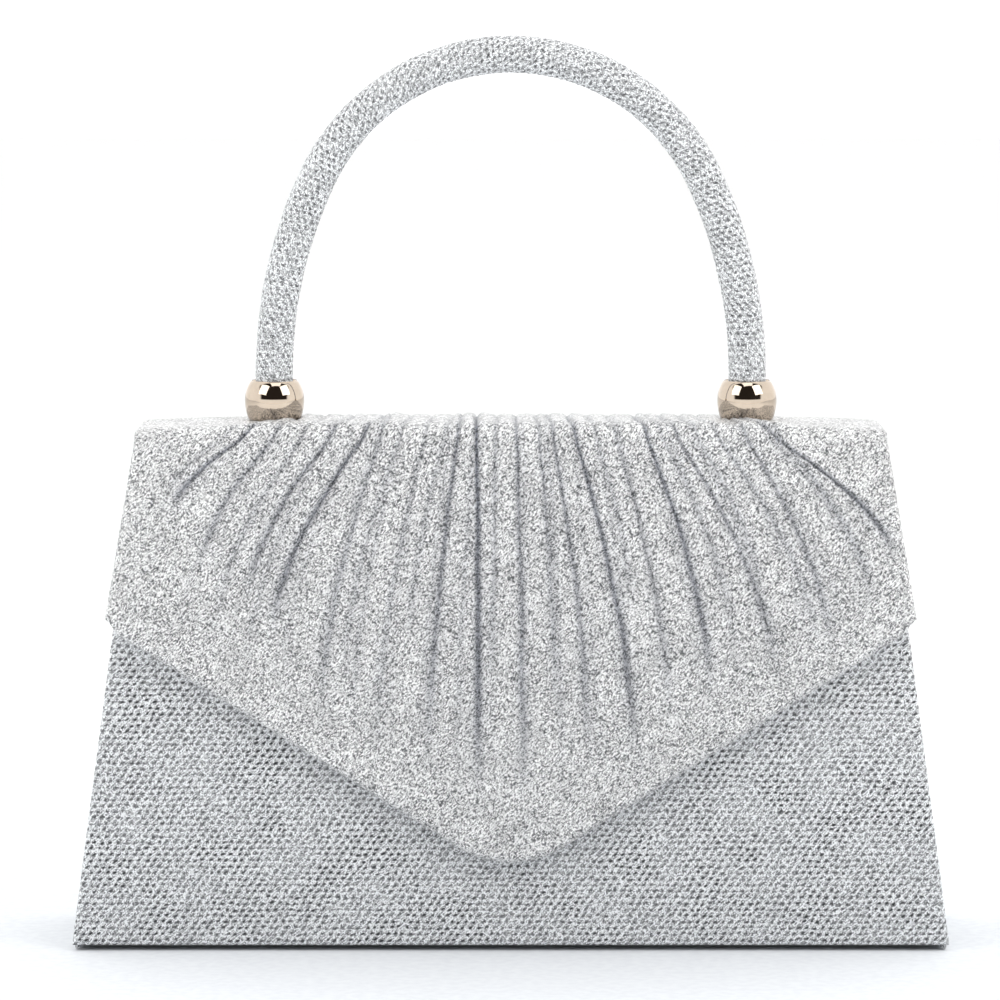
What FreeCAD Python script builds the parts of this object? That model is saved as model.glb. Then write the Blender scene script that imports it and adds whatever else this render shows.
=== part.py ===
"""Evening bag: stiff trapezoid purse, five-sided pleated flap, rigid arched top handle.

Frame: origin at the middle of the base on the floor, +X to the right, -Y to the front, +Z up.
Millimetres. The front and back walls lean inwards from the base to the mouth, so everything that
is fixed to a wall is drawn in that wall's own frame: X along the wall, Z up its slope, Y through it.
"""
import FreeCAD, Part
import math
import os
import re
import Sketcher

SIZES = [
    ("base_width", 220, "outside width of the body at the floor"),
    ("base_depth", 50, "outside depth of the body at the floor"),
    ("mouth_width", 187, "outside width of the body at the mouth"),
    ("mouth_depth", 27, "outside depth of the body at the mouth"),
    ("panel_height", 126.5, "height of the front and back walls"),
    ("wall_cloth", 1.0, "padded glitter cloth on the walls"),
    ("wall_board", 1.6, "stiffening board in the walls"),
    ("lining_cloth", 0.6, "satin lining"),
    ("base_board_thick", 2.0, "stiffening board in the base"),
    ("base_inset", 3.8, "base ends stand inside the side gussets"),
    ("base_gap", 0.6, "air between the base and the walls"),
    ("gusset_cloth", 1.0, "glitter cloth of the side gussets"),
    ("gusset_lining_thick", 0.5, "lining of the side gussets"),
    ("fold_bottom", 1.0, "how far the gusset folds in at the floor"),
    ("fold_top", 9.0, "how far the gusset folds in at the mouth"),
    ("leaf_gap", 0.25, "half of the slit between the two leaves of a gusset"),
    ("mouth_gap", 0.5, "air between the mouth and the top strip"),
    ("strip_board", 1.2, "stiffening board in the top strip and the flap"),
    ("strip_cloth", 2.5, "gathered cloth on the top strip"),
    ("strip_setback", 0.5, "the strip ends this far behind the mouth's front"),
    ("flap_gap", 1.2, "air between the front wall and the flap's lining"),
    ("flap_cloth", 2.2, "gathered cloth on the flap"),
    ("flap_top_rise", 131.4, "top edge of the flap, up the slope of the wall"),
    ("flap_corner_rise", 81.4, "lower side corners of the flap, up the slope"),
    ("flap_tip_rise", 18.1, "where the flap's two lower edges would meet"),
    ("flap_top_width", 187.6, "flap width at its top edge"),
    ("flap_corner_width", 202.4, "flap width at its side corners"),
    ("flap_tip_radius", 25, "rounding of the flap's tip"),
    ("board_inset", 2.5, "boards stop inside the edges of their cloth"),
    ("flap_lining_inset", 1.2, "flap lining inside the edge of its cloth"),
    ("handle_span", 119.2, "distance between the handle's two legs"),
    ("handle_apex", 223.2, "centre line of the handle at its top"),
    ("handle_crown_radius", 53.6, "centre-line radius of the handle's crown"),
    ("handle_shoulder", 143, "height where the legs become upright"),
    ("handle_tube", 8.0, "steel tube of the handle, outer diameter"),
    ("handle_tube_wall", 1.0, "wall of that tube"),
    ("handle_width", 9.5, "handle with its glitter cloth, diameter"),
    ("ferrule_width", 15, "ferrule at its middle, diameter"),
    ("ferrule_top_width", 11.8, "ferrule at its upper rim, diameter"),
    ("ferrule_foot_width", 13, "ferrule at its foot, diameter"),
    ("ferrule_height", 10, "height of a ferrule"),
    ("ferrule_cup", 6, "depth of the cup that takes the tube"),
    ("ferrule_cup_width", 10.2, "that cup, diameter"),
    ("ferrule_edge", 0.3, "rounding of the ferrule's rim and foot"),
    ("screw_size", 2.9, "shank of a handle screw"),
    ("screw_hole", 3.2, "clearance hole for a handle screw"),
    ("thread_hole", 3.0, "threaded hole in the ferrule"),
    ("screw_head_width", 6, "head of a handle screw, diameter"),
    ("screw_head_height", 1.8, "head of a handle screw, height"),
    ("screw_reach", 3.4, "length of screw inside the ferrule"),
    ("washer_width", 11, "washer under a handle screw"),
    ("washer_thick", 0.6, "thickness of that washer"),
    ("snap_rise", 48, "centre of the magnetic snap, up the slope"),
    ("snap_width", 17, "magnetic snap, diameter"),
    ("snap_hole_width", 17.8, "hole for the snap in cloth and board"),
    ("snap_proud", 0.4, "snap case stands out of the front cloth"),
    ("snap_depth", 2.0, "snap case reaches into the wall"),
    ("snap_shell", 0.4, "sheet metal of the snap"),
    ("snap_well_width", 8.0, "well in the snap case, diameter"),
    ("snap_plate_thick", 0.5, "steel plate behind the magnet"),
    ("snap_post_width", 6.0, "post on the flap, diameter"),
    ("snap_post_reach", 1.3, "how far the post stands in the well"),
    ("snap_rivet_width", 2.8, "rivet of the post, diameter"),
    ("snap_rivet_hole", 3.0, "hole for that rivet"),
    ("pocket_width", 110, "slip pocket on the back lining"),
    ("pocket_low", 38, "bottom of the slip pocket, up the slope"),
    ("pocket_high", 96, "open top of the slip pocket, up the slope"),
    ("pocket_cloth", 0.6, "cloth of the slip pocket"),
    ("pocket_room", 1.2, "space inside the slip pocket"),
    ("ring_place", 74, "strap ring from the middle of the bag"),
    ("ring_rise", 112, "bar of the strap ring, up the slope"),
    ("ring_stand", 2.0, "bar of the strap ring off the lining"),
    ("ring_half_width", 5.2, "half the strap ring, wire centre to centre"),
    ("ring_leg", 3.0, "straight side of the strap ring"),
    ("ring_wire", 1.6, "wire of the strap ring, diameter"),
    ("ring_play", 0.08, "radial play of the ring's bar in its tab"),
    ("tab_width", 8, "tab that holds the strap ring"),
    ("tab_height", 10, "length of that tab"),
    ("tab_thick", 0.8, "thickness of that tab"),
    ("tab_loop_width", 3.4, "loop at the tab's lower end, diameter"),
]

doc = FreeCAD.newDocument("EveningBag")
sheet = doc.addObject("Spreadsheet::Sheet", "Sizes")
for row, (alias, size, note) in enumerate(SIZES, start=1):
    sheet.set(f"A{row}", alias)
    sheet.set(f"B{row}", str(size))
    sheet.set(f"C{row}", note)
    sheet.setAlias(f"B{row}", alias)
doc.recompute()

# Sizes that follow from the driving ones, as expressions. Every alias has an underscore in it.
LEAN = "atan((base_depth - mouth_depth) / 2 / panel_height)"
WALL_STACK = "(wall_cloth + wall_board + lining_cloth)"
STRIP_BOTTOM = "(panel_height + mouth_gap)"
STRIP_TOP = "(panel_height + mouth_gap + lining_cloth + strip_board + strip_cloth)"
LEG = "(handle_span / 2)"
CROWN_CENTRE = "(handle_apex - handle_crown_radius)"
SHOULDER_RISE = "(handle_apex - handle_crown_radius - handle_shoulder)"
FLAP_SLOPE = "((flap_corner_rise - flap_tip_rise) / (flap_corner_width / 2))"

parts = {}


def sized(text):
    """Turn an expression that names aliases bare into one that reads them from the sheet."""
    return re.sub(r"\b([a-z]+(?:_[a-z]+)+)\b", r"Sizes.\1", text)


def number(text):
    """Present value of an expression over the sheet."""
    result = sheet.evalExpression(sized(text))
    return float(getattr(result, "Value", result))


def bind(item, **expressions):
    """Bind an object's properties to expressions. Two underscores stand for a dot."""
    for name, text in expressions.items():
        item.setExpression(name.replace("__", "."), sized(text))


def keep(item, label):
    """Name a finished sub-part. Its file takes this name."""
    item.Label = label
    parts[label] = item
    return item


def place(item, x="0", y="0", z="0", lean=None):
    """Put a sub-part at x, y, z. With lean +1 or -1 its Z runs up the front or the back wall."""
    tilt = number(LEAN) if lean else 0
    axis = FreeCAD.Vector(-(lean or 1), 0, 0)
    item.Placement = FreeCAD.Placement(FreeCAD.Vector(), FreeCAD.Rotation(axis, tilt))
    if lean:
        bind(item, Placement__Rotation__Angle=LEAN)
    bind(item, Placement__Base__x=x, Placement__Base__y=y, Placement__Base__z=z)


def on_front(item, rise, x="0"):
    """Put a sub-part on the outside of the front wall, at a height measured up its slope."""
    place(item, x, f"{rise} * sin({LEAN}) - base_depth / 2", f"{rise} * cos({LEAN})", lean=1)


def on_back_lining(item, rise, x="0"):
    """Put a sub-part on the inside of the back wall, at a height measured up its slope."""
    face = f"base_depth / 2 - {WALL_STACK}"
    place(item, x, f"{face} - {rise} * sin({LEAN})", f"{rise} * cos({LEAN})", lean=-1)


def new_body(label):
    """Empty body that will be the sub-part of that name."""
    return keep(doc.addObject("PartDesign::Body", label), label)


def new_sketch(body, role, height="0"):
    """Sketch on one of the body's origin planes, raised off it by an expression."""
    sketch = body.newObject("Sketcher::SketchObject", body.Label + "_sketch")
    plane = next(item for item in body.Origin.OriginFeatures if item.Role == role)
    sketch.AttachmentSupport = [(plane, "")]
    sketch.MapMode = "FlatFace"
    bind(sketch, AttachmentOffset__Base__z=height)
    return sketch


def fix_point(sketch, edge, end, point):
    """Fix one end of a sketch edge at a pair of expressions."""
    for kind, text in zip(("DistanceX", "DistanceY"), point):
        index = sketch.addConstraint(Sketcher.Constraint(kind, -1, 1, edge, end, number(text)))
        sketch.setExpression(f"Constraints[{index}]", sized(text))


def draw(sketch, points, arcs=None, closed=True):
    """Line through the points, closed or open.

    arcs maps the number of a stretch to its radius and its centre, as expressions. Such a stretch
    is an arc about that centre, the short way round from its point to the next one.
    """
    arcs = arcs or {}
    spots = [FreeCAD.Vector(number(x), number(y), 0) for x, y in points]
    stretches = len(points) if closed else len(points) - 1
    first = sketch.GeometryCount
    for step in range(stretches):
        here = spots[step]
        there = spots[(step + 1) % len(spots)]
        ends = (points[step], points[(step + 1) % len(points)])
        if step in arcs:
            draw_arc(sketch, ends, (here, there), *arcs[step])
        else:
            edge = sketch.addGeometry(Part.LineSegment(here, there), False)
            fix_point(sketch, edge, 1, ends[0])
            fix_point(sketch, edge, 2, ends[1])
    return list(range(first, sketch.GeometryCount))


def draw_arc(sketch, ends, spots, radius, centre):
    """Arc the short way between two points. A sketch arc always runs anticlockwise."""
    hub = FreeCAD.Vector(number(centre[0]), number(centre[1]), 0)
    angles = [math.atan2(spot.y - hub.y, spot.x - hub.x) for spot in spots]
    if (angles[1] - angles[0]) % (2 * math.pi) > math.pi:
        angles.reverse()
        ends = ends[::-1]
    around = Part.Circle(hub, FreeCAD.Vector(0, 0, 1), number(radius))
    edge = sketch.addGeometry(Part.ArcOfCircle(around, *angles), False)
    fix_point(sketch, edge, 1, ends[0])
    fix_point(sketch, edge, 2, ends[1])
    index = sketch.addConstraint(Sketcher.Constraint("Radius", edge, number(radius)))
    sketch.setExpression(f"Constraints[{index}]", sized(radius))


def box_outline(sketch, left, right, low, high):
    """Rectangle between four expressions."""
    draw(sketch, [(left, low), (right, low), (right, high), (left, high)])


def circle(sketch, width, x="0", y="0"):
    """Circle of a given diameter."""
    hub = FreeCAD.Vector(number(x), number(y), 0)
    radius = number(width) / 2
    edge = sketch.addGeometry(Part.Circle(hub, FreeCAD.Vector(0, 0, 1), radius), False)
    fix_point(sketch, edge, 3, (x, y))
    index = sketch.addConstraint(Sketcher.Constraint("Diameter", edge, number(width)))
    sketch.setExpression(f"Constraints[{index}]", sized(width))


def pad(body, sketch, length):
    """Pad along the sketch's own normal."""
    feature = body.newObject("PartDesign::Pad", body.Label + "_pad")
    feature.Profile = sketch
    bind(feature, Length=length)
    doc.recompute()
    return feature


def pocket(body, sketch, length=None):
    """Pocket to a depth against the sketch's normal, or right through both ways."""
    before = body.Shape.Volume
    feature = body.newObject("PartDesign::Pocket", body.Label + "_pocket")
    feature.Profile = sketch
    if length is None:
        feature.Type = "ThroughAll"
        feature.Midplane = True
    else:
        bind(feature, Length=length)
    doc.recompute()
    if body.Shape.Volume > before - 1e-3:
        raise RuntimeError(f"{body.Label}: the pocket cuts nothing")
    return feature


def loft(body, low, high):
    """Straight-sided loft between two sketches."""
    feature = body.newObject("PartDesign::AdditiveLoft", body.Label + "_loft")
    feature.Profile = low
    feature.Sections = [high]
    feature.Ruled = True
    doc.recompute()
    return feature


def revolve(body, sketch, axis):
    """Full turn of a sketch about its own horizontal or vertical axis."""
    feature = body.newObject("PartDesign::Revolution", body.Label + "_turn")
    feature.Profile = sketch
    feature.ReferenceAxis = (sketch, [axis])
    feature.Angle = 360
    doc.recompute()
    return feature


# ---------------------------------------------------------------- walls

def wall_layer(label, side, depth, thickness, inset="0"):
    """One layer of the front (side -1) or back (+1) wall, at a depth under its outside.

    Its edges stop short of the wall's own edges by the inset.
    """
    body = new_body(label)
    sections = []
    for height in (inset, f"(panel_height - {inset})"):
        share = f"{height} / panel_height"
        half = f"((base_width + (mouth_width - base_width) * {share}) / 2 - {inset})"
        reach = f"(base_depth + (mouth_depth - base_depth) * {share})"
        sketch = new_sketch(body, "XY_Plane", height)
        outside = f"{side} * ({reach} / 2 - {depth})"
        inside = f"{side} * ({reach} / 2 - {depth} - {thickness})"
        box_outline(sketch, f"-{half}", half, outside, inside)
        sections.append(sketch)
    loft(body, *sections)
    return body


def wall_snap_hole(body):
    """Hole for the snap, square to the leaning front wall."""
    sketch = new_sketch(body, "XZ_Plane")
    circle(sketch, "snap_hole_width")
    turn = FreeCAD.Rotation(FreeCAD.Vector(-1, 0, 0), number(LEAN))
    sketch.AttachmentOffset = FreeCAD.Placement(FreeCAD.Vector(), turn)
    bind(sketch, AttachmentOffset__Rotation__Angle=LEAN,
         AttachmentOffset__Base__y=f"snap_rise * cos({LEAN})",
         AttachmentOffset__Base__z=f"base_depth / 2 - snap_rise * sin({LEAN})")
    feature = body.newObject("PartDesign::Pocket", body.Label + "_snap_hole")
    before = body.Shape.Volume
    feature.Profile = sketch
    feature.Midplane = True
    bind(feature, Length=f"4 * {WALL_STACK}")
    doc.recompute()
    if body.Shape.Volume > before - 1e-3:
        raise RuntimeError(f"{body.Label}: the snap hole cuts nothing")


for wall, side in (("front", "-1"), ("back", "1")):
    cover = wall_layer(f"{wall}_cover", side, "0", "wall_cloth")
    board = wall_layer(f"{wall}_board", side, "wall_cloth", "wall_board", "board_inset")
    wall_layer(f"{wall}_lining", side, "(wall_cloth + wall_board)", "lining_cloth")
    if wall == "front":
        wall_snap_hole(cover)
        wall_snap_hole(board)


# ---------------------------------------------------------------- base

def base_layer(label, height, thickness):
    """One flat layer of the base, between the two walls and inside the gussets."""
    layer = keep(doc.addObject("Part::Box", label), label)
    length = "(base_width - 2 * base_inset)"
    width = f"(base_depth - 2 * {WALL_STACK} - 2 * base_gap)"
    bind(layer, Length=length, Width=width, Height=thickness)
    place(layer, f"-{length} / 2", f"-{width} / 2", height)


base_layer("base_cover", "0", "wall_cloth")
base_layer("base_board", "wall_cloth", "base_board_thick")
base_layer("base_lining", "(wall_cloth + base_board_thick)", "lining_cloth")


# ---------------------------------------------------------------- side gussets

def gusset_leaf(label, end, side, depth, thickness):
    """Front (side -1) or rear (+1) half of a gusset that folds inwards, at one end of the bag."""
    body = new_body(label)
    sections = []
    for height, width, reach, fold in (("0", "base_width", "base_depth", "fold_bottom"),
                                       ("panel_height", "mouth_width", "mouth_depth", "fold_top")):
        edge = f"({width} / 2 - {depth})"
        seam = f"{side} * ({reach} / 2 - {WALL_STACK})"
        crease = f"{side} * leaf_gap"
        corners = [(f"{end} * {edge}", seam),
                   (f"{end} * ({edge} - {thickness})", seam),
                   (f"{end} * ({edge} - {thickness} - {fold})", crease),
                   (f"{end} * ({edge} - {fold})", crease)]
        sketch = new_sketch(body, "XY_Plane", height)
        draw(sketch, corners)
        sections.append(sketch)
    loft(body, *sections)


for hand, end in (("left", "-1"), ("right", "1")):
    for leaf, side in (("front", "-1"), ("rear", "1")):
        gusset_leaf(f"gusset_{hand}_{leaf}", end, side, "0", "gusset_cloth")
        gusset_leaf(f"gusset_lining_{hand}_{leaf}", end, side, "gusset_cloth",
                    "gusset_lining_thick")


# ---------------------------------------------------------------- top strip

def strip_layer(label, height, thickness, inset="0"):
    """One layer of the strip over the mouth, with the two holes for the handle's screws."""
    body = new_body(label)
    sketch = new_sketch(body, "XY_Plane", height)
    half = f"(mouth_width / 2 - {inset})"
    box_outline(sketch, f"-{half}", half,
                f"strip_setback - mouth_depth / 2 + {inset}", f"mouth_depth / 2 - {inset}")
    pad(body, sketch, thickness)
    for end in ("-1", "1"):
        hole = new_sketch(body, "XY_Plane", height)
        circle(hole, "screw_hole", f"{end} * {LEG}")
        pocket(body, hole)


strip_layer("top_lining", STRIP_BOTTOM, "lining_cloth")
strip_layer("top_board", f"({STRIP_BOTTOM} + lining_cloth)", "strip_board", "board_inset")
strip_layer("top_cover", f"({STRIP_BOTTOM} + lining_cloth + strip_board)", "strip_cloth")


# ---------------------------------------------------------------- flap

def flap_layer(label, depth, thickness, inset, hole=None):
    """One layer of the five-sided flap, at a depth in front of the front wall."""
    body = new_body(label)
    sketch = new_sketch(body, "XZ_Plane", depth)
    # Moving every edge in by the inset lifts the tip, and slides the corners along the new edges.
    stretch = f"sqrt(1 + {FLAP_SLOPE} * {FLAP_SLOPE})"
    tip = f"(flap_tip_rise + {inset} * {stretch})"
    corner = f"(flap_corner_rise + {inset} * ({stretch} - {FLAP_SLOPE}))"
    top_half = f"(flap_top_width / 2 - {inset})"
    corner_half = f"(flap_corner_width / 2 - {inset})"
    radius = f"(flap_tip_radius - {inset})"
    # The tip's arc touches each lower edge where the edge's normal passes through its centre.
    centre = f"({tip} + {radius} * {stretch})"
    touch_x = f"({radius} * {FLAP_SLOPE} / {stretch})"
    touch_z = f"({centre} - {radius} / {stretch})"
    points = [(f"-{top_half}", "flap_top_rise"), (f"-{corner_half}", corner),
              (f"-{touch_x}", touch_z), (touch_x, touch_z),
              (corner_half, corner), (top_half, "flap_top_rise")]
    draw(sketch, points, arcs={2: (radius, ("0", centre))})
    pad(body, sketch, thickness)
    if hole:
        drilled = new_sketch(body, "XZ_Plane", depth)
        circle(drilled, hole, y="snap_rise")
        pocket(body, drilled)
    on_front(body, "0")


flap_layer("flap_lining", "flap_gap", "lining_cloth", "flap_lining_inset", "snap_rivet_hole")
flap_layer("flap_board", "(flap_gap + lining_cloth)", "strip_board", "board_inset",
           "snap_hole_width")
flap_layer("flap_cover", "(flap_gap + lining_cloth + strip_board)", "flap_cloth", "0")


# ---------------------------------------------------------------- handle

SIDE_RADIUS = (f"(({LEG} * {LEG} + {SHOULDER_RISE} * {SHOULDER_RISE}"
               f" - handle_crown_radius * handle_crown_radius)"
               f" / (2 * ({LEG} - handle_crown_radius)))")
HANDLE_FOOT = f"({STRIP_TOP} + ferrule_height - ferrule_cup)"


def handle_sweep(label, outer, inner):
    """Tube along the handle: upright foot, wide side arc, crown, side arc, upright foot."""
    body = new_body(label)
    spine = new_sketch(body, "XZ_Plane")
    # The side arcs and the crown touch on the line through their two centres.
    join = f"({SIDE_RADIUS} - handle_crown_radius)"
    join_x = f"(handle_crown_radius * ({SIDE_RADIUS} - {LEG}) / {join})"
    join_z = f"({CROWN_CENTRE} + handle_crown_radius * {SHOULDER_RISE} / {join})"
    side_hub = f"({SIDE_RADIUS} - {LEG})"
    points = [(f"-{LEG}", HANDLE_FOOT), (f"-{LEG}", "handle_shoulder"),
              (f"-{join_x}", join_z), (join_x, join_z),
              (LEG, "handle_shoulder"), (LEG, HANDLE_FOOT)]
    arcs = {1: (SIDE_RADIUS, (side_hub, "handle_shoulder")),
            2: ("handle_crown_radius", ("0", CROWN_CENTRE)),
            3: (SIDE_RADIUS, (f"-{side_hub}", "handle_shoulder"))}
    edges = draw(spine, points, arcs, closed=False)
    section = new_sketch(body, "XY_Plane", HANDLE_FOOT)
    circle(section, outer, f"-{LEG}")
    circle(section, inner, f"-{LEG}")
    feature = body.newObject("PartDesign::AdditivePipe", label + "_pipe")
    feature.Profile = section
    feature.Spine = (spine, [f"Edge{edge + 1}" for edge in edges])
    doc.recompute()


handle_sweep("handle_core", "handle_tube", "(handle_tube - 2 * handle_tube_wall)")
handle_sweep("handle_cover", "handle_width", "handle_tube")


def ferrule(label, x):
    """Barrel bead between the strip and the handle: cup above, threaded hole below."""
    body = new_body(label)
    sketch = new_sketch(body, "XZ_Plane")
    middle = "(ferrule_height / 2)"
    waist = "(ferrule_width / 2)"
    rim = "(ferrule_top_width / 2)"
    foot = "(ferrule_foot_width / 2)"
    cup = "(ferrule_cup_width / 2)"
    bore = "(thread_hole / 2)"
    floor = "(ferrule_height - ferrule_cup)"
    # Each half of the barrel is an arc that stands upright at the waist.
    upper, lower = (f"(({middle} * {middle} + ({waist} - {end}) * ({waist} - {end}))"
                    f" / (2 * ({waist} - {end})))" for end in (rim, foot))
    points = [(bore, "0"), (foot, "0"), (waist, middle), (rim, "ferrule_height"),
              (cup, "ferrule_height"), (cup, floor), (bore, floor)]
    draw(sketch, points, arcs={1: (lower, (f"({waist} - {lower})", middle)),
                               2: (upper, (f"({waist} - {upper})", middle))})
    turned = revolve(body, sketch, "V_Axis")
    outer_radii = (number(rim), number(foot))
    rims = [f"Edge{index}" for index, edge in enumerate(turned.Shape.Edges, start=1)
            if edge.Curve.TypeId == "Part::GeomCircle" and edge.Closed
            and any(abs(edge.Curve.Radius - radius) < 1e-6 for radius in outer_radii)]
    rounded = body.newObject("PartDesign::Fillet", label + "_rims")
    rounded.Base = (turned, rims)
    bind(rounded, Radius="ferrule_edge")
    doc.recompute()
    place(body, x, "0", STRIP_TOP)


def washer(label, x):
    """Round washer between the strip's lining and the screw's head."""
    body = new_body(label)
    sketch = new_sketch(body, "XY_Plane", f"({STRIP_BOTTOM} - washer_thick)")
    circle(sketch, "washer_width")
    circle(sketch, "screw_hole")
    pad(body, sketch, "washer_thick")
    place(body, x)


def screw(label, x):
    """Screw that comes up through the strip and into the ferrule."""
    body = new_body(label)
    sketch = new_sketch(body, "XZ_Plane")
    underside = f"({STRIP_BOTTOM} - washer_thick)"
    head = f"({underside} - screw_head_height)"
    tip = f"({STRIP_TOP} + screw_reach)"
    draw(sketch, [("0", head), ("screw_head_width / 2", head),
                  ("screw_head_width / 2", underside), ("screw_size / 2", underside),
                  ("screw_size / 2", tip), ("0", tip)])
    revolve(body, sketch, "V_Axis")
    place(body, x)


for hand, end in (("left", "-1"), ("right", "1")):
    leg = f"{end} * {LEG}"
    ferrule(f"ferrule_{hand}", leg)
    washer(f"handle_washer_{hand}", leg)
    screw(f"handle_screw_{hand}", leg)


# ---------------------------------------------------------------- magnetic snap

def snap_ring(label, profile):
    """Turned piece of the snap. The profile's points are outward distance, then radius."""
    body = new_body(label)
    sketch = new_sketch(body, "XY_Plane")
    draw(sketch, [(radius, f"-({outward})") for outward, radius in profile])
    revolve(body, sketch, "V_Axis")
    on_front(body, "snap_rise")


CASE_FACE = "snap_proud"
CASE_LIP = "(snap_proud - snap_shell)"
CASE_BACK = "(-snap_depth)"
WELL = "(snap_well_width / 2)"
RIM = "(snap_width / 2)"
snap_ring("snap_case", [(CASE_FACE, WELL), (CASE_FACE, RIM), (CASE_BACK, RIM),
                        (CASE_BACK, f"({RIM} - snap_shell)"), (CASE_LIP, f"({RIM} - snap_shell)"),
                        (CASE_LIP, f"({WELL} + snap_shell)"), (CASE_BACK, f"({WELL} + snap_shell)"),
                        (CASE_BACK, WELL)])
snap_ring("snap_magnet", [(CASE_LIP, f"({WELL} + snap_shell)"), (CASE_LIP, f"({RIM} - snap_shell)"),
                          (CASE_BACK, f"({RIM} - snap_shell)"), (CASE_BACK, f"({WELL} + snap_shell)")])
PLATE_BACK = "(-snap_depth - snap_plate_thick)"
snap_ring("snap_plate", [(CASE_BACK, "0"), (CASE_BACK, RIM), (PLATE_BACK, RIM), (PLATE_BACK, "0")])

FLAP_INSIDE = "flap_gap"
RIVET_END = "(flap_gap + lining_cloth + 0.5 * strip_board)"
POST = "(snap_post_width / 2)"
RIVET = "(snap_rivet_width / 2)"
DISC_FACE = "(flap_gap - snap_shell)"
POST_END = "(snap_proud - snap_post_reach)"
snap_ring("snap_post", [(RIVET_END, "0"), (RIVET_END, RIVET), (FLAP_INSIDE, RIVET),
                        (FLAP_INSIDE, RIM), (DISC_FACE, RIM), (DISC_FACE, POST),
                        (POST_END, POST), (POST_END, "0")])
WASHER_FACE = "(flap_gap + lining_cloth)"
snap_ring("snap_post_washer", [(WASHER_FACE, RIVET), (WASHER_FACE, RIM), (RIVET_END, RIM),
                               (RIVET_END, RIVET)])


# ---------------------------------------------------------------- slip pocket

def slip_pocket():
    """Patch pocket sewn to the back lining along its two sides and its foot, open at the top."""
    body = new_body("slip_pocket")
    half = "(pocket_width / 2)"
    sketch = new_sketch(body, "XZ_Plane")
    box_outline(sketch, f"-{half}", half, "pocket_low", "pocket_high")
    pad(body, sketch, "(pocket_room + pocket_cloth)")
    hollow = new_sketch(body, "XZ_Plane")
    # The room runs out past the top edge, so that the pocket is open there.
    box_outline(hollow, f"pocket_cloth - {half}", f"{half} - pocket_cloth",
                "(pocket_low + pocket_cloth)", "(pocket_high + pocket_cloth)")
    room = body.newObject("PartDesign::Pocket", "slip_pocket_room")
    room.Profile = hollow
    room.Reversed = True
    bind(room, Length="pocket_room")
    before = body.Shape.Volume
    doc.recompute()
    if body.Shape.Volume > before - 1e-3:
        raise RuntimeError("slip_pocket: the room cuts nothing")
    on_back_lining(body, "0")


slip_pocket()


# ---------------------------------------------------------------- strap rings and their tabs

def rod(label, radius, length, direction):
    """Plain cylinder from its own origin along a direction."""
    item = doc.addObject("Part::Cylinder", label)
    turn = FreeCAD.Rotation(FreeCAD.Vector(0, 0, 1), direction)
    item.Placement = FreeCAD.Placement(FreeCAD.Vector(), turn)
    bind(item, Radius=radius, Height=length)
    return item


def strap_ring(label, x):
    """D-shaped wire ring that hangs from its straight bar. Its origin is the bar's middle."""
    wire = "ring_wire / 2"
    bar = rod(label + "_bar", wire, "2 * ring_half_width", FreeCAD.Vector(1, 0, 0))
    bind(bar, Placement__Base__x="-ring_half_width")
    pieces = [bar]
    for end in ("-1", "1"):
        leg = rod(f"{label}_leg{len(pieces)}", wire, "ring_leg", FreeCAD.Vector(0, 0, -1))
        bind(leg, Placement__Base__x=f"{end} * ring_half_width")
        corner = doc.addObject("Part::Sphere", f"{label}_corner{len(pieces)}")
        bind(corner, Radius=wire, Placement__Base__x=f"{end} * ring_half_width")
        pieces += [leg, corner]
    bow = doc.addObject("Part::Torus", label + "_bow")
    bow.Angle3 = 180
    down = FreeCAD.Rotation(FreeCAD.Vector(1, 0, 0), -90)
    bow.Placement = FreeCAD.Placement(FreeCAD.Vector(), down)
    bind(bow, Radius1="ring_half_width", Radius2=wire, Placement__Base__z="-ring_leg")
    ring = keep(doc.addObject("Part::MultiFuse", label), label)
    ring.Shapes = pieces + [bow]
    face = f"base_depth / 2 - {WALL_STACK}"
    place(ring, x, f"{face} - ring_rise * sin({LEAN}) - ring_stand * cos({LEAN})",
          f"ring_rise * cos({LEAN}) - ring_stand * sin({LEAN})")


def ring_tab(label, x):
    """Flat tab on the back lining, with a loop at its lower end round the ring's bar."""
    plate = doc.addObject("Part::Box", label + "_plate")
    bind(plate, Length="tab_width", Width="tab_thick", Height="tab_height",
         Placement__Base__x="-tab_width / 2", Placement__Base__y="-tab_thick")
    loop = rod(label + "_loop", "tab_loop_width / 2", "tab_width", FreeCAD.Vector(1, 0, 0))
    bore = rod(label + "_bore", "ring_wire / 2 + ring_play", "tab_width", FreeCAD.Vector(1, 0, 0))
    for item in (loop, bore):
        bind(item, Placement__Base__x="-tab_width / 2", Placement__Base__y="-ring_stand")
    joined = doc.addObject("Part::Fuse", label + "_solid")
    joined.Base = plate
    joined.Tool = loop
    tab = keep(doc.addObject("Part::Cut", label), label)
    tab.Base = joined
    tab.Tool = bore
    on_back_lining(tab, "ring_rise", x)


for hand, end in (("left", "-1"), ("right", "1")):
    strap_ring(f"strap_ring_{hand}", f"{end} * ring_place")
    ring_tab(f"ring_tab_{hand}", f"{end} * ring_place")


# ---------------------------------------------------------------- check and write

doc.recompute()
for item in doc.Objects:
    if "Invalid" in item.State or "Error" in item.State:
        raise RuntimeError(f"{item.Label}: {item.State}")
for label, item in parts.items():
    if item.Shape.isNull() or not item.Shape.isValid() or not item.Shape.Solids:
        raise RuntimeError(f"{label}: no valid solid")

os.makedirs("parts", exist_ok=True)
for label, item in parts.items():
    item.Shape.exportStep(f"parts/{label}.step")
    box = item.Shape.BoundBox
    print(f"{label:28s} {len(item.Shape.Solids)} solid  {item.Shape.Volume:10.1f} mm3"
          f"  x {box.XMin:7.1f} {box.XMax:7.1f}  y {box.YMin:6.1f} {box.YMax:6.1f}"
          f"  z {box.ZMin:6.1f} {box.ZMax:6.1f}")
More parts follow.
